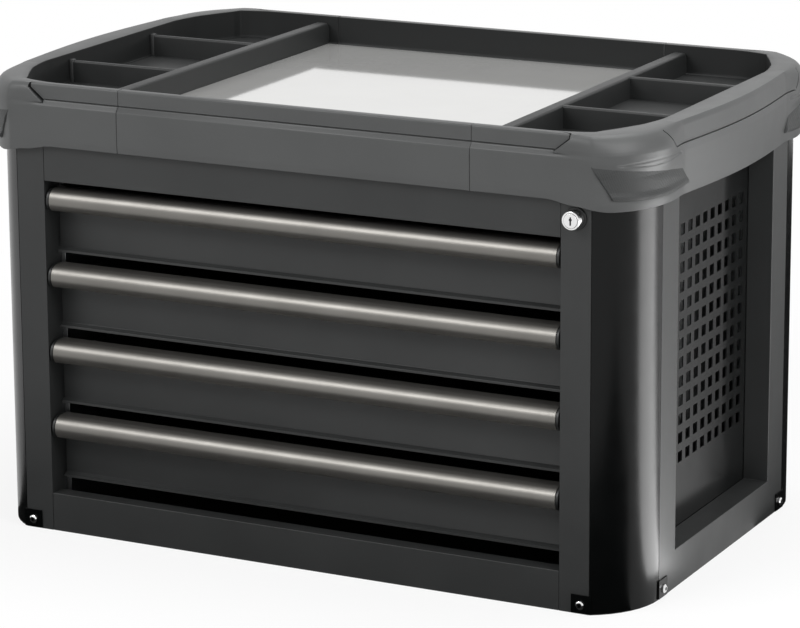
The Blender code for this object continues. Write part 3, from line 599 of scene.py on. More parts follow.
@dataclass
class Recipe:
    """A Geometry Nodes tree with named inputs for its sizes, grown into a plain mesh.

    The tree holds no chance, so it needs no seed.
    """

    name: str
    sizes: dict[str, float | int]
    tree: bpy.types.NodeTree = field(init=False)
    inputs: bpy.types.NodeOutputs = field(init=False)

    def __post_init__(self) -> None:
        """Starts the tree with its inputs and its output."""
        self.tree = bpy.data.node_groups.new(self.name, "GeometryNodeTree")
        sockets = self.tree.interface
        for label, value in self.sizes.items():
            kind = "NodeSocketInt" if isinstance(value, int) else "NodeSocketFloat"
            sockets.new_socket(label, in_out="INPUT", socket_type=kind)
        sockets.new_socket("Material", in_out="INPUT", socket_type="NodeSocketMaterial")
        sockets.new_socket("Geometry", in_out="OUTPUT", socket_type="NodeSocketGeometry")
        self.inputs = add_node(self.tree, "NodeGroupInput").outputs

    def grow(self, last: bpy.types.NodeSocket, material: bpy.types.Material) -> bpy.types.Mesh:
        """Ends the tree and lets it make its mesh.

        Args:
            last: the geometry, which may hold instances.
            material: its finish.

        Returns:
            The mesh, with no modifier left on it.
        """
        real = add_node(self.tree, "GeometryNodeRealizeInstances", sources={0: last})
        dressed = add_node(
            self.tree, "GeometryNodeSetMaterial",
            sources={"Geometry": real.outputs[0], "Material": self.inputs["Material"]},
        )
        add_node(self.tree, "NodeGroupOutput", sources={0: dressed.outputs[0]})
        holder = bpy.data.objects.new(self.name, bpy.data.meshes.new(self.name))
        bpy.context.scene.collection.objects.link(holder)
        grown = holder.modifiers.new(self.name, "NODES")
        grown.node_group = self.tree
        for item in self.tree.interface.items_tree:
            if item.in_out == "INPUT":
                grown[item.identifier] = material if item.name == "Material" else self.sizes[item.name]
        mesh = evaluated_mesh(holder)
        holder.modifiers.remove(grown)
        bpy.data.objects.remove(holder)
        return mesh


@dataclass
class PerforatedPanel:
    """A punched sheet in the side's recess: rows of square holes with slightly rounded corners."""

    side: Side
    material: bpy.types.Material
    columns: int = 12
    rows: int = 13
    pitch: float = 0.0199
    hole: float = 0.0115
    hole_corner: float = 0.0004
    first_height: float = 0.1131

    def build(self) -> None:
        """Grows the sheet from its rule and stands it in its place."""
        node = f"{self.side.word}_perforated_panel"
        low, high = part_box(node)
        middle = (low + high) / 2.0
        recipe = Recipe("punched_sheet", {
            "Width": high.y - low.y, "Height": high.z - low.z, "Thickness": high.x - low.x,
            "Columns": self.columns, "Rows": self.rows,
            "Columns Width": self.pitch * (self.columns - 1), "Rows Height": self.pitch * (self.rows - 1),
            "Hole Width": self.hole, "Hole Corner": self.hole_corner,
            "Hole Rise": self.first_height + self.pitch * (self.rows - 1) / 2.0 - middle.z,
        })
        mesh = recipe.grow(self.sheet(recipe), self.material)
        mesh.transform(
            Matrix.Translation((low.x, middle.y, middle.z))
            @ Matrix(((0.0, 0.0, 1.0), (1.0, 0.0, 0.0), (0.0, 1.0, 0.0))).to_4x4()
        )
        stand_for(new_piece(f"{node}_shown", shade(mesh), self.material), node)

    def sheet(self, recipe: Recipe) -> bpy.types.NodeSocket:
        """Lays the tree's nodes: hole outlines on a grid, cut from a rectangle and thickened.

        Args:
            recipe: the tree and its inputs.

        Returns:
            The sheet, lying flat on its middle.
        """
        tree, size = recipe.tree, recipe.inputs
        places = add_node(tree, "GeometryNodeMeshGrid", sources={
            "Size X": size["Columns Width"], "Size Y": size["Rows Height"],
            "Vertices X": size["Columns"], "Vertices Y": size["Rows"],
        })
        rise = add_node(tree, "ShaderNodeCombineXYZ", sources={"Y": size["Hole Rise"]})
        moved = add_node(tree, "GeometryNodeSetPosition", sources={
            "Geometry": places.outputs[0], "Offset": rise.outputs[0],
        })
        square = add_node(tree, "GeometryNodeCurvePrimitiveQuadrilateral", sources={
            "Width": size["Hole Width"], "Height": size["Hole Width"],
        })
        hole = add_node(
            tree, "GeometryNodeFilletCurve", {"mode": "POLY"}, {1: 2},
            {0: square.outputs[0], "Radius": size["Hole Corner"]},
        )
        holes = add_node(tree, "GeometryNodeInstanceOnPoints", sources={
            "Points": moved.outputs[0], "Instance": hole.outputs[0],
        })
        cut = add_node(tree, "GeometryNodeRealizeInstances", sources={0: holes.outputs[0]})
        outline = add_node(tree, "GeometryNodeCurvePrimitiveQuadrilateral", sources={
            "Width": size["Width"], "Height": size["Height"],
        })
        lines = add_node(tree, "GeometryNodeJoinGeometry", sources={0: outline.outputs[0]})
        tree.links.new(cut.outputs[0], lines.inputs[0])
        face = add_node(tree, "GeometryNodeFillCurve", sources={0: lines.outputs[0]})
        raised = add_node(tree, "GeometryNodeExtrudeMesh", values={"Individual": False}, sources={
            0: face.outputs[0], "Offset Scale": size["Thickness"],
        })
        under = add_node(tree, "GeometryNodeFlipFaces", sources={0: face.outputs[0]})
        both = add_node(tree, "GeometryNodeJoinGeometry", sources={0: raised.outputs[0]})
        tree.links.new(under.outputs[0], both.inputs[0])
        closed = add_node(
            tree, "GeometryNodeMergeByDistance", values={"Distance": MERGE}, sources={0: both.outputs[0]}
        )
        return closed.outputs[0]


@dataclass
class Screws:
    """The hexagon-socket screws low on each face beside each corner cover."""

    material: bpy.types.Material
    head_radius: float = 0.0045
    head_height: float = 0.0024
    dome_share: float = 0.70        # how wide the flat top of the dome is
    socket_radius: float = 0.0021

    def build(self) -> None:
        """Grows all eight screws from one head."""
        low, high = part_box("front_right_front_screw")
        side_low, side_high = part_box("front_right_side_screw")
        recipe = Recipe("corner_screws", {
            "Head Radius": self.head_radius, "Top Radius": self.head_radius * self.dome_share,
            "Half Height": self.head_height / 2.0, "Height": self.head_height,
            "Socket Radius": self.socket_radius,
            "Front Apart": low.x + high.x, "Front Deep": -2.0 * (low.y + self.head_height),
            "Side Wide": 2.0 * (side_high.x - self.head_height), "Side Apart": -(side_low.y + side_high.y),
            "Rise": (low.z + high.z) / 2.0,
        })
        head = self.head(recipe)
        tree, size = recipe.tree, recipe.inputs
        front = self.placed(recipe, head, size["Front Apart"], size["Front Deep"], (0.0, 1.0, 0.0))
        sides = self.placed(recipe, head, size["Side Wide"], size["Side Apart"], (1.0, 0.0, 0.0))
        every = add_node(tree, "GeometryNodeJoinGeometry", sources={0: front})
        tree.links.new(sides, every.inputs[0])
        mesh = shade(recipe.grow(every.outputs[0], self.material), 35.0)
        nodes = [
            f"{end.word}_{side.word}_{face}_screw"
            for end in End for side in Side for face in (end.word, "side")
        ]
        stand_for(new_piece("corner_screws_shown", mesh, self.material), *nodes)

    def head(self, recipe: Recipe) -> bpy.types.NodeSocket:
        """Lays the nodes of one head: a drum with a domed top and a six-sided socket."""
        tree, size = recipe.tree, recipe.inputs
        up = add_node(tree, "ShaderNodeCombineXYZ", sources={"Z": size["Half Height"]})
        top = add_node(tree, "ShaderNodeCombineXYZ", sources={"Z": size["Height"]})
        drum = add_node(tree, "GeometryNodeMeshCone", values={"Vertices": 24}, sources={
            "Radius Top": size["Head Radius"], "Radius Bottom": size["Head Radius"],
            "Depth": size["Half Height"],
        })
        dome = add_node(tree, "GeometryNodeMeshCone", values={"Vertices": 24}, sources={
            "Radius Top": size["Top Radius"], "Radius Bottom": size["Head Radius"],
            "Depth": size["Half Height"],
        })
        raised = add_node(tree, "GeometryNodeTransform", sources={
            "Geometry": dome.outputs[0], "Translation": up.outputs[0],
        })
        tool = add_node(tree, "GeometryNodeMeshCylinder", values={"Vertices": 6}, sources={
            "Radius": size["Socket Radius"], "Depth": size["Height"],
        })
        key = add_node(tree, "GeometryNodeTransform", sources={
            "Geometry": tool.outputs[0], "Translation": top.outputs[0],
        })
        cut = add_node(tree, "GeometryNodeMeshBoolean", {"operation": "DIFFERENCE"}, sources={
            0: raised.outputs[0], 1: key.outputs[0],
        })
        both = add_node(tree, "GeometryNodeJoinGeometry", sources={0: drum.outputs[0]})
        tree.links.new(cut.outputs[0], both.inputs[0])
        return both.outputs[0]

    def placed(
        self,
        recipe: Recipe,
        head: bpy.types.NodeSocket,
        across: bpy.types.NodeSocket,
        deep: bpy.types.NodeSocket,
        axis: tuple[float, float, float],
    ) -> bpy.types.NodeSocket:
        """Stands a head on four places of a rectangle, facing away from its middle.

        Args:
            recipe: the tree and its inputs.
            head: the head's geometry.
            across: how far apart the places are in X.
            deep: how far apart they are in Y.
            axis: 1 for the axis that the heads look along.

        Returns:
            The instances.
        """
        tree = recipe.tree
        grid = add_node(
            tree, "GeometryNodeMeshGrid", values={"Vertices X": 2, "Vertices Y": 2},
            sources={"Size X": across, "Size Y": deep},
        )
        rise = add_node(tree, "ShaderNodeCombineXYZ", sources={"Z": recipe.inputs["Rise"]})
        moved = add_node(tree, "GeometryNodeSetPosition", sources={
            "Geometry": grid.outputs[0], "Offset": rise.outputs[0],
        })
        place = add_node(tree, "GeometryNodeInputPosition")
        out = add_node(
            tree, "ShaderNodeVectorMath", {"operation": "MULTIPLY"}, {1: axis}, {0: place.outputs[0]}
        )
        turned = add_node(
            tree, "FunctionNodeAlignRotationToVector", {"axis": "Z"}, sources={"Vector": out.outputs[0]}
        )
        heads = add_node(tree, "GeometryNodeInstanceOnPoints", sources={
            "Points": moved.outputs[0], "Instance": head, "Rotation": turned.outputs[0],
        })
        return heads.outputs[0]


@dataclass
class Corners:
    """The four curved corner covers and their hexagon-socket screws."""

    finishes: Finishes
    edge: float = 0.0005

    def build(self) -> None:
        """Makes the covers and their screws."""
        for end in End:
            for side in Side:
                softened(f"{end.word}_{side.word}_corner_cover", self.finishes.cover, self.edge, 2)
        Screws(self.finishes.chrome).build()


# The tray rim


def ease(value: np.ndarray | float, low: float, high: float) -> np.ndarray:
    """Rises smoothly from 0 at low to 1 at high."""
    share = np.clip((np.asarray(value, dtype=float) - low) / (high - low), 0.0, 1.0)
    return share * share * (3.0 - 2.0 * share)


def tent(value: np.ndarray, low: float, high: float) -> np.ndarray:
    """Is 1 between low and high and 0 elsewhere."""
    return ((value > low) & (value < high)).astype(float)


@dataclass(frozen=True)
class RimForm:
    """The moulded rim's form: how far it stands out from the cabinet's outline.

    A place on it is a run round the outline, in metres from the seam in the front, and a height.
    The profiles hold heights and reaches, from the top edge down to the foot.
    """

    seam: float = 0.2000
    half_width: float = 0.3700
    half_depth: float = 0.2420
    corner: tuple[float, float] = (0.2870, 0.1690)
    radius: float = 0.0830
    crease: float = 0.0140          # half the run over which the rim turns at the cover's edge
    top: float = 0.4830
    underside: float = 0.4490
    floor: float = 0.4520
    wall: float = 0.0030
    fit: float = 0.0003
    bow: float = 0.0090
    front: tuple[tuple[float, float], ...] = (
        (0.4830, 0.0026), (0.4823, 0.0036), (0.4812, 0.0040), (0.4680, 0.0040), (0.4654, 0.0046),
        (0.4612, 0.0080), (0.4600, 0.0082), (0.4440, 0.0082), (0.4245, 0.0080), (0.4178, 0.0074),
    )
    shoulder: tuple[tuple[float, float], ...] = (
        (0.4830, 0.0036), (0.4800, 0.0072), (0.4770, 0.0083), (0.4740, 0.0088), (0.4680, 0.0090),
        (0.4640, 0.0087), (0.4600, 0.0092), (0.4455, 0.0086), (0.4245, 0.0082), (0.4133, 0.0076),
    )
    round_corner: tuple[tuple[float, float], ...] = (
        (0.4830, -0.0036), (0.4822, 0.0004), (0.4805, 0.0034), (0.4763, 0.0072), (0.4710, 0.0100),
        (0.4673, 0.0112), (0.4640, 0.0119), (0.4560, 0.0117), (0.4490, 0.0104), (0.4410, 0.0080),
        (0.4260, 0.0074), (0.4150, 0.0084), (0.4080, 0.0080),
    )
    side: tuple[tuple[float, float], ...] = (
        (0.4830, 0.0048), (0.4815, 0.0060), (0.4785, 0.0071), (0.4628, 0.0084), (0.4598, 0.0090),
        (0.4530, 0.0094), (0.4430, 0.0094), (0.4245, 0.0090), (0.4091, 0.0084),
    )
    inset_runs: tuple[float, ...] = (
        0.0, 0.0885, 0.1075, 0.1265, 0.1377, 0.1488, 0.1599, 0.1711, 0.1822, 0.1934, 0.2045, 0.2157,
        0.2457, 0.3900,
    )
    insets: tuple[float, ...] = (
        0.0060, 0.0060, 0.0108, 0.0162, 0.0203, 0.0237, 0.0253, 0.0264, 0.0267, 0.0259, 0.0239, 0.0212,
        0.0140, 0.0140,
    )
    strip_end: tuple[float, float] = (0.0885, 0.0170)       # run of its foot, and how far it slants
    strip_heights: tuple[float, float] = (0.4650, 0.4785)
    notch: tuple[float, float] = (0.2065, 0.0160)           # run of its head, and how far it slants
    notch_heights: tuple[float, float] = (0.4620, 0.4795)
    front_groove: tuple[float, float] = (0.4661, 0.4674)
    side_groove: tuple[float, float] = (0.4605, 0.4616)
    groove_depth: float = 0.0021
    slot: float = 0.0006            # half the width of a slot
    lens: tuple[float, float, float] = (0.1480, 0.2380, 0.4535)     # two runs and a height
    lens_half: float = 0.0025
    lens_ridge: tuple[float, float] = (0.0009, 0.0006)              # its width and depth
    shoulder_span: tuple[float, float] = (0.080, 0.112)     # runs over which a section becomes the next
    corner_span: tuple[float, float] = (0.110, 0.150)
    side_span: tuple[float, float] = (0.200, 0.246)
    foot_spans: tuple[tuple[float, float], ...] = ((0.080, 0.112), (0.110, 0.145), (0.215, 0.250))
    bow_start: float = 0.2472

    @property
    def arc_start(self) -> float:
        """Run at which the cabinet's outline starts to turn."""
        return self.corner[0] + math.sqrt(
            self.radius ** 2 - (self.half_depth - self.corner[1]) ** 2
        ) - self.seam

    @property
    def arc_turn(self) -> float:
        """Angle through which the outline turns, in radians."""
        return math.asin((self.half_depth - self.corner[1]) / self.radius)

    @property
    def middle(self) -> float:
        """Run at the middle of the chest's side."""
        return self.arc_start + self.radius * self.arc_turn + self.corner[1]

    def line(self, run: np.ndarray) -> tuple[np.ndarray, np.ndarray]:
        """Points on the outline and the directions out of it.

        Args:
            run: runs from the seam.

        Returns:
            Places and unit directions, each with X and Y last.
        """
        start, turned = self.arc_start, self.arc_turn
        stop = start + self.radius * turned
        angle = np.clip(-turned + (run - start) / self.radius, -turned, 0.0)
        x = self.corner[0] + self.radius * np.cos(angle) + np.minimum(run - start, 0.0)
        y = -self.corner[1] + self.radius * np.sin(angle) + np.maximum(run - stop, 0.0)
        flat = np.where(run < start, -math.pi / 2.0, angle)
        near = np.clip((run - start) / self.crease, -1.0, 1.0)
        after = -turned + self.crease / self.radius
        bent = -math.pi / 2.0 + (after + math.pi / 2.0) * (near + 1.0) / 2.0
        direction = np.where(np.abs(near) < 1.0, bent, flat)
        return np.stack((x, y), -1), np.stack((np.cos(direction), np.sin(direction)), -1)

    def inset(self, run: np.ndarray) -> np.ndarray:
        """How far inside the outline the inner wall stands, with its corners eased."""
        spread = np.linspace(-0.012, 0.012, 9)
        return np.mean([np.interp(np.abs(run + step), self.inset_runs, self.insets) for step in spread], 0)

    def foot(self, run: np.ndarray) -> np.ndarray:
        """Height of the rim's lower edge."""
        first, second, third = self.foot_spans
        low = self.front[-1][0] + (self.shoulder[-1][0] - self.front[-1][0]) * ease(run, *first)
        low = low + (self.round_corner[-1][0] - low) * ease(run, *second)
        return low + (self.side[-1][0] - low) * ease(run, *third)

    def slanted(self, column: np.ndarray, height: np.ndarray) -> np.ndarray:
        """Leans the mesh's columns along the strip's end and the notch.

        Args:
            column: the columns.
            height: the heights on them.

        Returns:
            The true runs.
        """
        first, second = self.strip_heights, self.notch_heights
        lean = (np.clip(height, *first) - first[0]) / (first[1] - first[0]) * self.strip_end[1]
        lean = lean * (1.0 - ease(np.abs(column - self.strip_end[0]), 0.004, 0.034))
        other = (second[1] - np.clip(height, *second)) / (second[1] - second[0]) * self.notch[1]
        other = other * (1.0 - ease(np.abs(column - self.notch[0]), 0.003, 0.033))
        return column + lean + other

    def reach(self, column: np.ndarray, run: np.ndarray, height: np.ndarray) -> np.ndarray:
        """How far the rim stands out.

        Args:
            column: the mesh column, which marks the slanted slots.
            run: the true run.
            height: the height.

        Returns:
            Reaches from the outline, in metres.
        """
        front, shoulder, corner, side = (
            np.interp(height, [item[0] for item in reversed(profile)], [item[1] for item in reversed(profile)])
            for profile in (self.front, self.shoulder, self.round_corner, self.side)
        )
        end, slot = self.strip_end[0], self.slot
        upper = ease(height, 0.4628, 0.4646)
        share = upper * ease(column, end, end + slot) + (1.0 - upper) * ease(run, *self.shoulder_span)
        out = front + (shoulder - front) * share
        out = out + (corner - out) * ease(run, *self.corner_span)
        out = out + (side - out) * ease(run, *self.side_span)
        out = out + self.bow * np.sin(ease_linear(run, self.bow_start, self.middle) * math.pi / 2.0)
        cut = tent(height, *self.front_groove) * tent(column, -1.0, end)
        cut = np.maximum(cut, tent(column, end - 2.2 * slot, end) * tent(height, 0.4655, 1.0))
        cut = np.maximum(cut, tent(height, *self.side_groove) * ease(run, 0.2240, 0.2256))
        cut = np.maximum(cut, tent(column, self.notch[0] - slot, self.notch[0] + slot) * tent(
            height, self.notch_heights[0] - 0.0003, self.notch_heights[1] + 0.0012))
        first, last, centre = self.lens
        half = self.lens_half * np.sin(ease_linear(run, first, last) * math.pi)
        inside = tent(run, first, last)
        width, depth = self.lens_ridge
        for sign in (-1.0, 1.0):
            ridge = np.exp(-(((height - centre) - sign * half) / width) ** 2)
            out = out - depth * ridge * inside
        return out - self.groove_depth * cut


def ease_linear(value: np.ndarray, low: float, high: float) -> np.ndarray:
    """Rises evenly from 0 at low to 1 at high."""
    return np.clip((value - low) / (high - low), 0.0, 1.0)


def skin(rings: np.ndarray, closed_ends: bool = True) -> bmesh.types.BMesh:
    """Joins closed rings of points, one after another, into a body.

    Args:
        rings: points as ring, place in the ring, and X, Y and Z.
        closed_ends: whether the first and the last ring are filled.

    Returns:
        The body, with its faces pointing out.
    """
    shape = bmesh.new()
    placed = [[shape.verts.new(point) for point in ring] for ring in rings]
    for first, second in zip(placed, placed[1:]):
        count = len(first)
        for step in range(count):
            after = (step + 1) % count
            shape.faces.new((first[step], first[after], second[after], second[step]))
    if closed_ends:
        shape.faces.new(placed[0])
        shape.faces.new(placed[-1])
    bmesh.ops.recalc_face_normals(shape, faces=shape.faces[:])
    return shape


@dataclass
class TopTray:
    """The moulded tray rim: end trays, fascias, bumper pads and the worktop sheet."""

    finishes: Finishes
    form: RimForm = field(default_factory=RimForm)
    edge: float = 0.0005
    column_step: float = 0.0020
    heights: tuple[float, ...] = tuple(np.concatenate((
        (0.4830, 0.4827, 0.4822, 0.4815, 0.4807, 0.4798), np.arange(0.4785, 0.4685, -0.0014),
        (0.4681, 0.4675, 0.4673, 0.4662, 0.4660, 0.4654, 0.4646, 0.4638, 0.4628, 0.4622, 0.4617, 0.4615,
         0.4606, 0.4604, 0.4597, 0.4588), np.arange(0.4580, 0.4490, -0.0008),
        np.arange(0.4480, 0.4240, -0.0018),
    )))
    foot_rows: int = 8
    divider: tuple[float, float, float] = (0.2120, 0.2260, 0.4760)
    ribs: tuple[float, float, float] = (0.0850, 0.0030, 0.4755)

    def build(self) -> None:
        """Makes the mouldings, the pads and the sheet."""
        for side in Side:
            self.end_tray(side)
            for end in End:
                self.pad(side, end)
        for end in End:
            self.fascia(end)
        softened("worktop_plate", self.finishes.worktop, self.edge / 2.0)

    def ring(self, column: np.ndarray, sink: np.ndarray) -> tuple[np.ndarray, np.ndarray, np.ndarray]:
        """Closed sections of the rim.

        Args:
            column: the mesh columns.
            sink: how far each section is shrunk, for the small bevel at a seam.

        Returns:
            Runs, reaches and heights, each by column and place in the section.
        """
        form = self.form
        foot = form.foot(column)[:, None]
        upper = np.broadcast_to(np.array(self.heights), (len(column), len(self.heights)))
        share = np.linspace(0.0, 1.0, self.foot_rows + 1)[1:]
        lower = upper[:, -1:] + (foot + 0.0005 - upper[:, -1:]) * share
        height = np.concatenate((upper, lower), 1)
        across = np.broadcast_to(column[:, None], height.shape)
        run = form.slanted(across, height)
        out = form.reach(across, run, height) - sink[:, None]
        height = height - sink[:, None] * (height > form.top - 0.0001)
        inset = form.inset(column)[:, None] - sink[:, None]
        level = np.ones_like(inset)
        inner_out = np.concatenate((
            -inset - 0.0030, -inset - 0.0030, -inset - 0.0009, -inset, -inset, -inset + 0.0003,
            -inset + 0.0012,
        ), 1)
        top = form.top - sink[:, None]
        inner_height = np.concatenate((
            form.underside * level, (form.floor + 0.0003) * level, (form.floor + 0.0013) * level,
            (form.floor + 0.0035) * level, top - 0.0012, top - 0.0003, top,
        ), 1)
        roof = form.top - form.wall
        back_out = np.concatenate((
            out[:, -1:] - 0.0006, form.fit * level, form.fit * level, -inset + form.wall, -inset + form.wall,
        ), 1)
        back_height = np.concatenate((
            foot, foot, roof * level, roof * level, form.underside * level,
        ), 1)
        run_inner = np.broadcast_to(column[:, None], inner_out.shape)
        run_back = np.broadcast_to(column[:, None], back_out.shape)
        return (
            np.concatenate((run_inner, run, run_back), 1),
            np.concatenate((inner_out, out, back_out), 1),
            np.concatenate((inner_height, height, back_height), 1),
        )

    def columns(self) -> np.ndarray:
        """Mesh columns from the front seam to the middle of the side, closer at each slot."""
        form = self.form
        plain = np.arange(self.column_step, form.middle, self.column_step)
        close = [0.0, 0.0005]
        for place in (form.strip_end[0] - form.slot, form.notch[0], 0.2248):
            offsets = np.array((-1.7, -1.15, -0.85, 0.0, 0.85, 1.15, 1.7)) * form.slot
            plain = plain[np.abs(plain - place) > 2.6 * form.slot]
            close.extend(place + offsets)
        return np.unique(np.concatenate((plain, close, [form.middle])))

    def end_tray(self, side: Side) -> None:
        """Makes one end tray: the hollow rim, the pocket floor, the divider and two ribs."""
        column = self.columns()
        sink = np.where(column < 0.0003, self.edge, 0.0)
        run, out, height = self.ring(column, sink)
        point, direction = self.form.line(run)
        flat = point + direction * out[..., None]
        front = np.concatenate((flat, height[..., None]), 2)
        rear = front[-2::-1] * np.array((1.0, -1.0, 1.0))
        rings = np.concatenate((front, rear)) * np.array((side.value, 1.0, 1.0))
        mesh = shade(mesh_from(skin(rings), "end_tray"), 38.0)
        piece = new_piece(f"{side.word}_end_tray_shown", mesh, self.finishes.moulding)
        stand_for(piece, f"{side.word}_end_tray")
        self.furnish(side, front)

    def furnish(self, side: Side, front: np.ndarray) -> None:
        """Makes the floor, the divider and the ribs of an end tray, in a darker colour than its rim as painted
        shade.

        Args:
            side: which end of the chest.
            front: the front half's rings, for the line of the inner wall.
        """
        form = self.form
        shape = bmesh.new()
        inner, outer, top = self.divider
        wall = front[:, 3, :2]
        edge = [tuple(item) for item in wall[wall[:, 0] > inner + 0.0005][::4]]
        edge = [(inner + 0.0001, wall[0, 1] - 0.0010)] + edge
        outline = edge + [(x, -y) for x, y in reversed(edge)]
        slab = [
            [(side.value * x, y, level) for x, y in outline]
            for level in (form.underside + 0.0003, form.floor)
        ]
        self.add_shell(shape, slab)
        reach = form.half_depth - form.inset(np.zeros(1))[0] + 0.0010
        self.add_shell(shape, self.bar(side, (inner, outer), reach, top))
        place, half, rib_top = self.ribs
        stop = form.half_width - form.insets[-1] + 0.0010
        for middle in (-place, place):
            self.add_shell(shape, self.rib(side, (outer - 0.0040, stop), middle, half, rib_top))
            self.add_shell(shape, self.boss(side, stop - 0.0022, middle, half * 1.5, rib_top + 0.0012))
        name = f"{side.word}_end_tray"
        beside(new_piece(f"{name}_pockets", shade(mesh_from(shape, name), 38.0), self.finishes.pocket), name)

    def add_shell(self, shape: bmesh.types.BMesh, rings: list[list[tuple[float, float, float]]]) -> None:
        """Adds a closed body from rings of points to a mesh."""
        body = skin(np.array(rings))
        extra = mesh_from(body, "shell")
        shape.from_mesh(extra)
        bpy.data.meshes.remove(extra)

    def arch(self, half: float, low: float, top: float, radius: float) -> list[tuple[float, float]]:
        """Upright section with a rounded top, as places across and heights."""
        points = [(-half, low)]
        for step in range(7):
            angle = math.pi - step * math.pi / 2.0 / 6.0
            points.append((-half + radius + radius * math.cos(angle), top - radius + radius * math.sin(angle)))
        return points + [(-across, height) for across, height in reversed(points)]

    def bar(
        self, side: Side, across: tuple[float, float], reach: float, top: float
    ) -> list[list[tuple[float, float, float]]]:
        """The divider, with a rounded top that drops at both ends.

        Args:
            side: which end of the chest.
            across: its two faces in X.
            reach: half its length.
            top: its top.

        Returns:
            Rings of points along Y.
        """
        centre = (across[0] + across[1]) / 2.0
        half = (across[1] - across[0]) / 2.0
        rings = []
        for place, drop in (
            (-1.0, 0.0060), (-0.998, 0.0052), (-0.9915, 0.0024), (-0.984, 0.0007), (-0.974, 0.0),
            (0.974, 0.0), (0.984, 0.0007), (0.9915, 0.0024), (0.998, 0.0052), (1.0, 0.0060),
        ):
            section = self.arch(half, self.form.underside + 0.0004, top - drop, 0.0028)
            rings.append([(side.value * (centre + x), place * reach, z) for x, z in section])
        return rings

    def rib(
        self, side: Side, ends: tuple[float, float], middle: float, half: float, top: float
    ) -> list[list[tuple[float, float, float]]]:
        """A rib between two pockets, as rings of points along X."""
        section = self.arch(half, self.form.floor - 0.0010, top, 0.0024)
        return [[(side.value * x, middle + y, z) for y, z in section] for x in ends]

    def boss(
        self, side: Side, place: float, middle: float, radius: float, top: float
    ) -> list[list[tuple[float, float, float]]]:
        """The rounded boss where a rib meets the wall, as rings of points up Z."""
        rings = []
        for share, height in (
            (1.0, self.form.floor - 0.0010), (1.0, top - 0.0012), (0.92, top - 0.0005), (0.70, top),
        ):
            rings.append([
                (
                    side.value * (place + radius * share * math.cos(step * math.pi / 8.0)),
                    middle + radius * share * math.sin(step * math.pi / 8.0), height,
                )
                for step in range(16)
            ])
        return rings

    def fascia(self, end: End) -> None:
        """Makes the straight length of the rim between the end trays."""
        column = np.zeros(4)
        sink = np.array((self.edge, 0.0, 0.0, self.edge))
        _, out, height = self.ring(column, sink)
        edge = self.form.seam - self.form.fit
        places = (-edge, -edge + self.edge, edge - self.edge, edge)
        rings = [
            [(x, end.value * (self.form.half_depth + reach), z) for reach, z in zip(row, level)]
            for x, row, level in zip(places, out, height)
        ]
        mesh = shade(mesh_from(skin(np.array(rings)), "fascia"), 38.0)
        piece = new_piece(f"{end.word}_fascia_shown", mesh, self.finishes.moulding)
        stand_for(piece, f"{end.word}_fascia")

    def pad(self, side: Side, end: End) -> None:
        """Makes one textured bumper pad, which lies on the rim's corner."""
        form = self.form
        close = np.array((0.0, 0.0003, 0.0006, 0.0009, 0.0012, 0.0017)) / 0.130
        along = np.unique(np.concatenate((close, np.linspace(0.017, 0.983, 90), 1.0 - close)))
        upward = np.unique(np.concatenate((close[:5] * 3.6, np.linspace(0.046, 1.0, 38))))
        u, v = np.meshgrid(along, upward, indexing="ij")
        low = 0.4195 - 0.0030 * np.sin(np.pi * u)
        high = 0.4585 - 0.0165 * u
        height = low + (high - low) * v
        first = 0.1230 + (0.4580 - height) * 0.0187 / 0.0350
        last = 0.2545 - (height - 0.4200) * 0.0160 / 0.0215
        run = first + (last - first) * u
        ground = form.reach(run, run, height)
        rim = np.minimum.reduce((
            ease(run - first, 0.0, 0.0014), ease(last - run, 0.0, 0.0012), ease(height - low, 0.0, 0.0011),
            ease(high - height, 0.0, 0.0160),
        ))
        lip = 0.0014 * np.exp(-(((height - low) - 0.0040) / 0.0034) ** 2)
        out = ground - 0.0006 + rim * (0.0023 + lip)
        point, direction = form.line(run)
        outer = np.concatenate((point + direction * out[..., None], height[..., None]), 2)
        back = np.concatenate((point + direction * (ground - 0.0016)[..., None], height[..., None]), 2)
        turn = np.array((side.value, -end.value, 1.0))
        shape = bmesh.new()
        faces = [[[shape.verts.new(item * turn) for item in row] for row in sheet] for sheet in (outer, back)]
        rows, columns = u.shape
        for sheet in faces:
            for i in range(rows - 1):
                for j in range(columns - 1):
                    shape.faces.new((sheet[i][j], sheet[i + 1][j], sheet[i + 1][j + 1], sheet[i][j + 1]))
        border = [(i, 0) for i in range(rows)] + [(rows - 1, j) for j in range(1, columns)]
        border += [(i, columns - 1) for i in range(rows - 2, -1, -1)] + [(0, j) for j in range(columns - 2, 0, -1)]
        for (i, j), (k, m) in zip(border, border[1:] + border[:1]):
            shape.faces.new((faces[0][i][j], faces[0][k][m], faces[1][k][m], faces[1][i][j]))
        bmesh.ops.recalc_face_normals(shape, faces=shape.faces[:])
        name = f"{end.word}_{side.word}_bumper"
        piece = new_piece(f"{name}_shown", shade(mesh_from(shape, name), 50.0), self.finishes.pad)
        stand_for(piece, name)


@dataclass
class Drawer:
    """One drawer: its folded box and front, its grip rail with end caps, and its middle slides."""

    name: str
    finishes: Finishes
    fold: float = 0.0006

    def build(self) -> None:
        """Makes the drawer's pieces."""
        softened(self.name, self.finishes.powder_coat, self.fold)
        softened(f"{self.name}_handle", self.finishes.grip, self.fold)
        for side in Side:
            softened(f"{self.name}_{side.word}_cap", self.finishes.cap, self.fold)
            softened(f"{self.name}_{side.word}_slide", self.finishes.zinc, self.fold / 2.0)


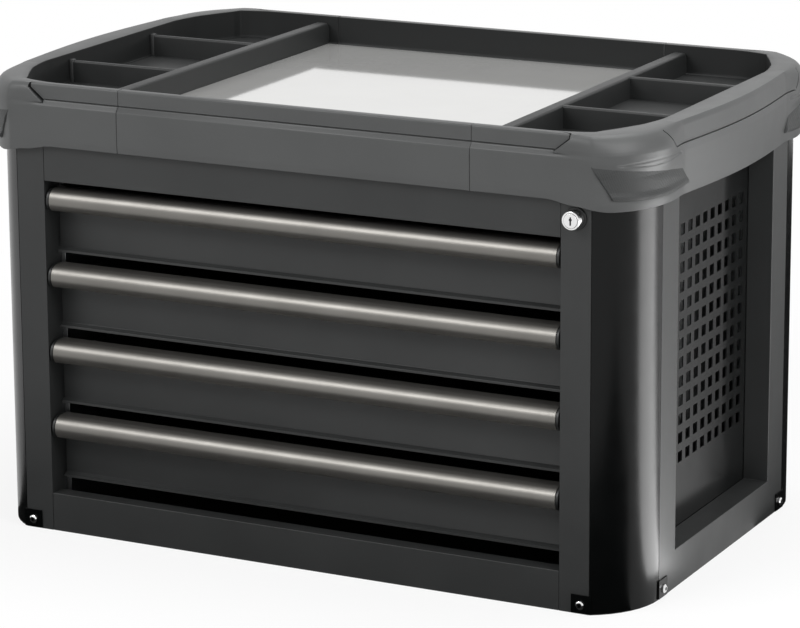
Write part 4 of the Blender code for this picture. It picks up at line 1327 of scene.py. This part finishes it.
@dataclass
class Lock:
    """The cylinder lock and the upright bar that it lifts."""

    finishes: Finishes
    edge: float = 0.0004
    axis: tuple[float, float] = (0.3100, 0.4000)
    face: float = -0.2420
    barrel: float = 0.0094
    bore: float = 0.0073
    collar: float = 0.0115
    collar_height: float = 0.0018
    steps: int = 40

    def build(self) -> None:
        """Makes the lock's housing, its plug and the bar."""
        softened("lock_core", self.finishes.chrome, self.edge / 2.0)
        softened("locking_bar", self.finishes.zinc, self.edge)
        front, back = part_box("lock_housing")
        barrel = [
            (self.bore, back.y), (self.barrel, back.y), (self.barrel, front.y + self.edge * 2.0),
            (self.barrel - self.edge * 0.6, front.y + self.edge * 0.6),
            (self.barrel - self.edge * 2.0, front.y), (self.bore + self.edge, front.y),
            (self.bore, front.y + self.edge),
        ]
        piece = self.turned("lock_housing_shown", barrel, self.finishes.chrome)
        stand_for(piece, "lock_housing")
        # the collar round the barrel takes the black cap finish and shows as a dark ring all round
        collar = [
            (self.barrel + 0.0001, self.face), (self.collar, self.face),
            (self.collar, self.face - self.collar_height + self.edge),
            (self.collar - self.edge, self.face - self.collar_height),
            (self.barrel + 0.0001, self.face - self.collar_height),
        ]
        beside(self.turned("lock_collar", collar, self.finishes.cap), "lock_housing")
        self.keyway(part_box("lock_core")[0].y)

    def turned(
        self, name: str, section: list[tuple[float, float]], material: bpy.types.Material
    ) -> bpy.types.Object:
        """Turns a section round the lock's axis.

        Args:
            name: the piece's name.
            section: radii and places along Y, as a closed line.
            material: its finish.

        Returns:
            The piece.
        """
        rings = []
        for step in range(self.steps + 1):
            angle = 2.0 * math.pi * (step % self.steps) / self.steps
            rings.append([
                (self.axis[0] + radius * math.cos(angle), y, self.axis[1] + radius * math.sin(angle))
                for radius, y in section
            ])
        shape = skin(np.array(rings), closed_ends=False)
        bmesh.ops.remove_doubles(shape, verts=shape.verts[:], dist=MERGE)
        bmesh.ops.recalc_face_normals(shape, faces=shape.faces[:])
        return new_piece(name, shade(mesh_from(shape, name)), material)

    def keyway(self, face: float) -> None:
        """Makes a black plate in the keyhole's outline on the plug's face, as painted shade of the slot: a round
        head over a blade.

        Args:
            face: Y of the plug's face.
        """
        head, half, drop = 0.0016, 0.0008, 0.0044
        outline = [(-half, -drop), (half, -drop)]
        start = math.asin(half / head) - math.pi / 2.0
        for step in range(13):
            angle = start + (3.0 * math.pi / 2.0 - 2.0 * math.asin(half / head) + math.pi / 2.0) * step / 12.0
            outline.append((head * math.cos(angle), 0.0012 + head * math.sin(angle)))
        rings = [
            [(self.axis[0] + x, y, self.axis[1] + z) for x, z in outline] for y in (face - 0.0001, face + 0.0010)
        ]
        # painted shade: a black plate where the keyhole's slot is dark
        mesh = shade(mesh_from(skin(np.array(rings)), "keyway"))
        beside(new_piece("lock_keyway", mesh, self.finishes.cap), "lock_core")


# Studio


@dataclass
class Softbox:
    """A rectangular lamp that the camera doesn't see."""

    name: str
    place: tuple[float, float, float]
    target: tuple[float, float, float]
    size: tuple[float, float]
    power: float

    def build(self) -> None:
        """Sets the lamp up, facing its target."""
        lamp = bpy.data.lights.new(self.name, "AREA")
        lamp.shape = "RECTANGLE"
        lamp.size, lamp.size_y = self.size
        lamp.energy = self.power
        holder = bpy.data.objects.new(self.name, lamp)
        holder.location = self.place
        holder.rotation_euler = (
            (Vector(self.target) - Vector(self.place)).to_track_quat("-Z", "Y").to_euler()
        )
        holder.visible_camera = False
        bpy.context.scene.collection.objects.link(holder)


def seen_rays(tree: bpy.types.NodeTree) -> bpy.types.NodeSocket:
    """A socket that is 1 for camera, glossy and transmission rays, and 0 for light that scatters."""
    rays = add_node(tree, "ShaderNodeLightPath")
    first = add_node(
        tree, "ShaderNodeMath", {"operation": "MAXIMUM"},
        sources={0: rays.outputs["Is Camera Ray"], 1: rays.outputs["Is Glossy Ray"]},
    )
    both = add_node(
        tree, "ShaderNodeMath", {"operation": "MAXIMUM"},
        sources={0: first.outputs[0], 1: rays.outputs["Is Transmission Ray"]},
    )
    return both.outputs[0]


@dataclass
class ReflectionCard:
    """A bright panel lying on the floor beside the chest, seen only as a reflection in gloss.

    Its corners are places round a centre: directions in degrees round from the front towards the
    right, and distances.
    """

    name: str
    centre: tuple[float, float]
    turns: tuple[float, float]
    reach: tuple[float, float]
    level: float
    height: float = 0.001

    def build(self) -> None:
        """Makes the panel."""
        shape = bmesh.new()
        corners = []
        for turn, reach in (
            (self.turns[0], self.reach[0]), (self.turns[0], self.reach[1]),
            (self.turns[1], self.reach[1]), (self.turns[1], self.reach[0]),
        ):
            angle = math.radians(turn)
            corners.append(shape.verts.new((
                self.centre[0] + math.sin(angle) * reach,
                self.centre[1] - math.cos(angle) * reach,
                self.height,
            )))
        shape.faces.new(corners)
        material = bpy.data.materials.new(self.name)
        material.use_nodes = True
        tree = material.node_tree
        glow = add_node(
            tree, "ShaderNodeEmission", values={"Color": (1.0, 1.0, 1.0, 1.0), "Strength": self.level}
        )
        tree.links.new(glow.outputs[0], tree.nodes["Material Output"].inputs["Surface"])
        card = new_piece(self.name, mesh_from(shape, self.name), material)
        card.visible_camera = False
        card.visible_diffuse = False
        card.visible_shadow = False
        card.visible_transmission = False


@dataclass
class Studio:
    """A pale seamless floor, a grey world, a few softboxes and a reflection card."""

    floor_size: float = 60.0
    floor_shade: str = "#f0f0f0"
    floor_glow: float = 0.80
    glow_reach: tuple[float, float] = (0.45, 1.3)
    world_level: float = 0.42
    lamps: list[Softbox] = field(default_factory=lambda: [
        Softbox("top_softbox", (0.3, 0.5, 2.4), (0.0, 0.05, 0.4), (1.8, 1.2), 30.0),
        Softbox("front_softbox", (-0.95, -1.80, 1.80), (0.0, -0.24, 0.3), (1.7, 0.9), 30.0),
        Softbox("right_softbox", (1.25, -0.55, 1.05), (0.37, -0.20, 0.35), (0.6, 0.6), 9.0),
    ])
    cards: list[ReflectionCard] = field(default_factory=lambda: [
        ReflectionCard("right_card", (0.30, -0.17), (102.0, 134.0), (0.14, 4.0), 9.0),
        ReflectionCard("side_flag", (0.342, 0.02), (158.5, 200.0), (0.02, 2.2), 0.02),
        ReflectionCard("front_flag", (0.0, 0.5), (-52.0, 50.0), (1.12, 1.75), 0.02),
    ])

    def build(self) -> None:
        """Makes the floor, the world, the lamps and the cards."""
        self.floor()
        self.world()
        for item in (*self.lamps, *self.cards):
            item.build()

    def floor(self) -> None:
        """Makes the floor: white to the camera, apart from the shadow that it keeps near the chest."""
        shape = bmesh.new()
        bmesh.ops.create_grid(shape, x_segments=1, y_segments=1, size=self.floor_size / 2.0)
        material = bpy.data.materials.new("pale_floor")
        material.use_nodes = True
        tree = material.node_tree
        shader = tree.nodes["Principled BSDF"]
        shader.inputs["Base Color"].default_value = linear(self.floor_shade)
        shader.inputs["Roughness"].default_value = 0.9
        shader.inputs["Specular IOR Level"].default_value = 0.0
        glow = add_node(tree, "ShaderNodeEmission", values={"Color": (1.0, 1.0, 1.0, 1.0), "Strength": 1.0})
        place = add_node(tree, "ShaderNodeTexCoord").outputs["Object"]
        away = add_node(tree, "ShaderNodeVectorMath", {"operation": "LENGTH"}, sources={0: place})
        white = add_node(
            tree, "ShaderNodeMapRange", {"interpolation_type": "SMOOTHSTEP"},
            {
                "From Min": self.glow_reach[0], "From Max": self.glow_reach[1],
                "To Min": self.floor_glow, "To Max": 1.0,
            },
            {"Value": away.outputs["Value"]},
        )
        share = add_node(
            tree, "ShaderNodeMath", {"operation": "MULTIPLY"},
            sources={0: seen_rays(tree), 1: white.outputs[0]},
        )
        mixed = add_node(
            tree, "ShaderNodeMixShader",
            sources={0: share.outputs[0], 1: shader.outputs[0], 2: glow.outputs[0]},
        )
        tree.links.new(mixed.outputs[0], tree.nodes["Material Output"].inputs["Surface"])
        new_piece("floor", mesh_from(shape, "floor"), material)

    def world(self) -> None:
        """Makes the world: plain grey light, white where it is seen."""
        world = bpy.data.worlds.new("studio")
        bpy.context.scene.world = world
        world.use_nodes = True
        tree = world.node_tree
        light = tree.nodes["Background"]
        light.inputs["Color"].default_value = (1.0, 1.0, 1.0, 1.0)
        light.inputs["Strength"].default_value = self.world_level
        seen_white = add_node(
            tree, "ShaderNodeBackground", values={"Color": (1.0, 1.0, 1.0, 1.0), "Strength": 1.0}
        )
        mixed = add_node(
            tree, "ShaderNodeMixShader",
            sources={0: seen_rays(tree), 1: light.outputs[0], 2: seen_white.outputs[0]},
        )
        tree.links.new(mixed.outputs[0], tree.nodes["World Output"].inputs["Surface"])


@dataclass
class Viewpoint:
    """The photograph's camera: its direction, distance, lens and small shift."""

    azimuth: float = 26.949         # degrees round from the front towards the right
    elevation: float = 13.322
    roll: float = -0.298
    distance: float = 3.927
    aside: float = -0.0028
    raised: float = 0.2930
    sensor: float = 36.0
    lens: float = 163.17
    shift_y: float = -0.1

    def build(self) -> None:
        """Sets the camera up and makes it the scene's."""
        turn, rise, roll = (math.radians(item) for item in (self.azimuth, self.elevation, self.roll))
        back = Vector((
            math.sin(turn) * math.cos(rise), -math.cos(turn) * math.cos(rise), math.sin(rise),
        ))
        right = Vector((math.cos(turn), math.sin(turn), 0.0))
        up = back.cross(right)
        side = right * math.cos(roll) + up * math.sin(roll)
        top = up * math.cos(roll) - right * math.sin(roll)
        camera = bpy.data.cameras.new("camera")
        camera.sensor_width = self.sensor
        camera.lens = self.lens
        camera.shift_y = self.shift_y
        camera.clip_start = 0.1
        camera.clip_end = 200.0
        holder = bpy.data.objects.new("camera", camera)
        place = back * self.distance + right * self.aside + up * self.raised
        holder.matrix_world = Matrix.Translation(place) @ Matrix((side, top, back)).transposed().to_4x4()
        bpy.context.scene.collection.objects.link(holder)
        bpy.context.scene.camera = holder


# The whole scene


def main() -> None:
    """Builds the chest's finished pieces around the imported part, then the studio and the camera."""
    logging.basicConfig(level=logging.INFO, format="%(name)s: %(message)s")
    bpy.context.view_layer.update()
    finishes = Finishes()
    Cabinet(finishes).build()
    Corners(finishes).build()
    TopTray(finishes).build()
    for name in DRAWERS:
        Drawer(name, finishes).build()
    Lock(finishes).build()
    Studio().build()
    Viewpoint().build()
    bpy.context.scene.view_settings.view_transform = "Standard"


if __name__ == "__main__":
    main()
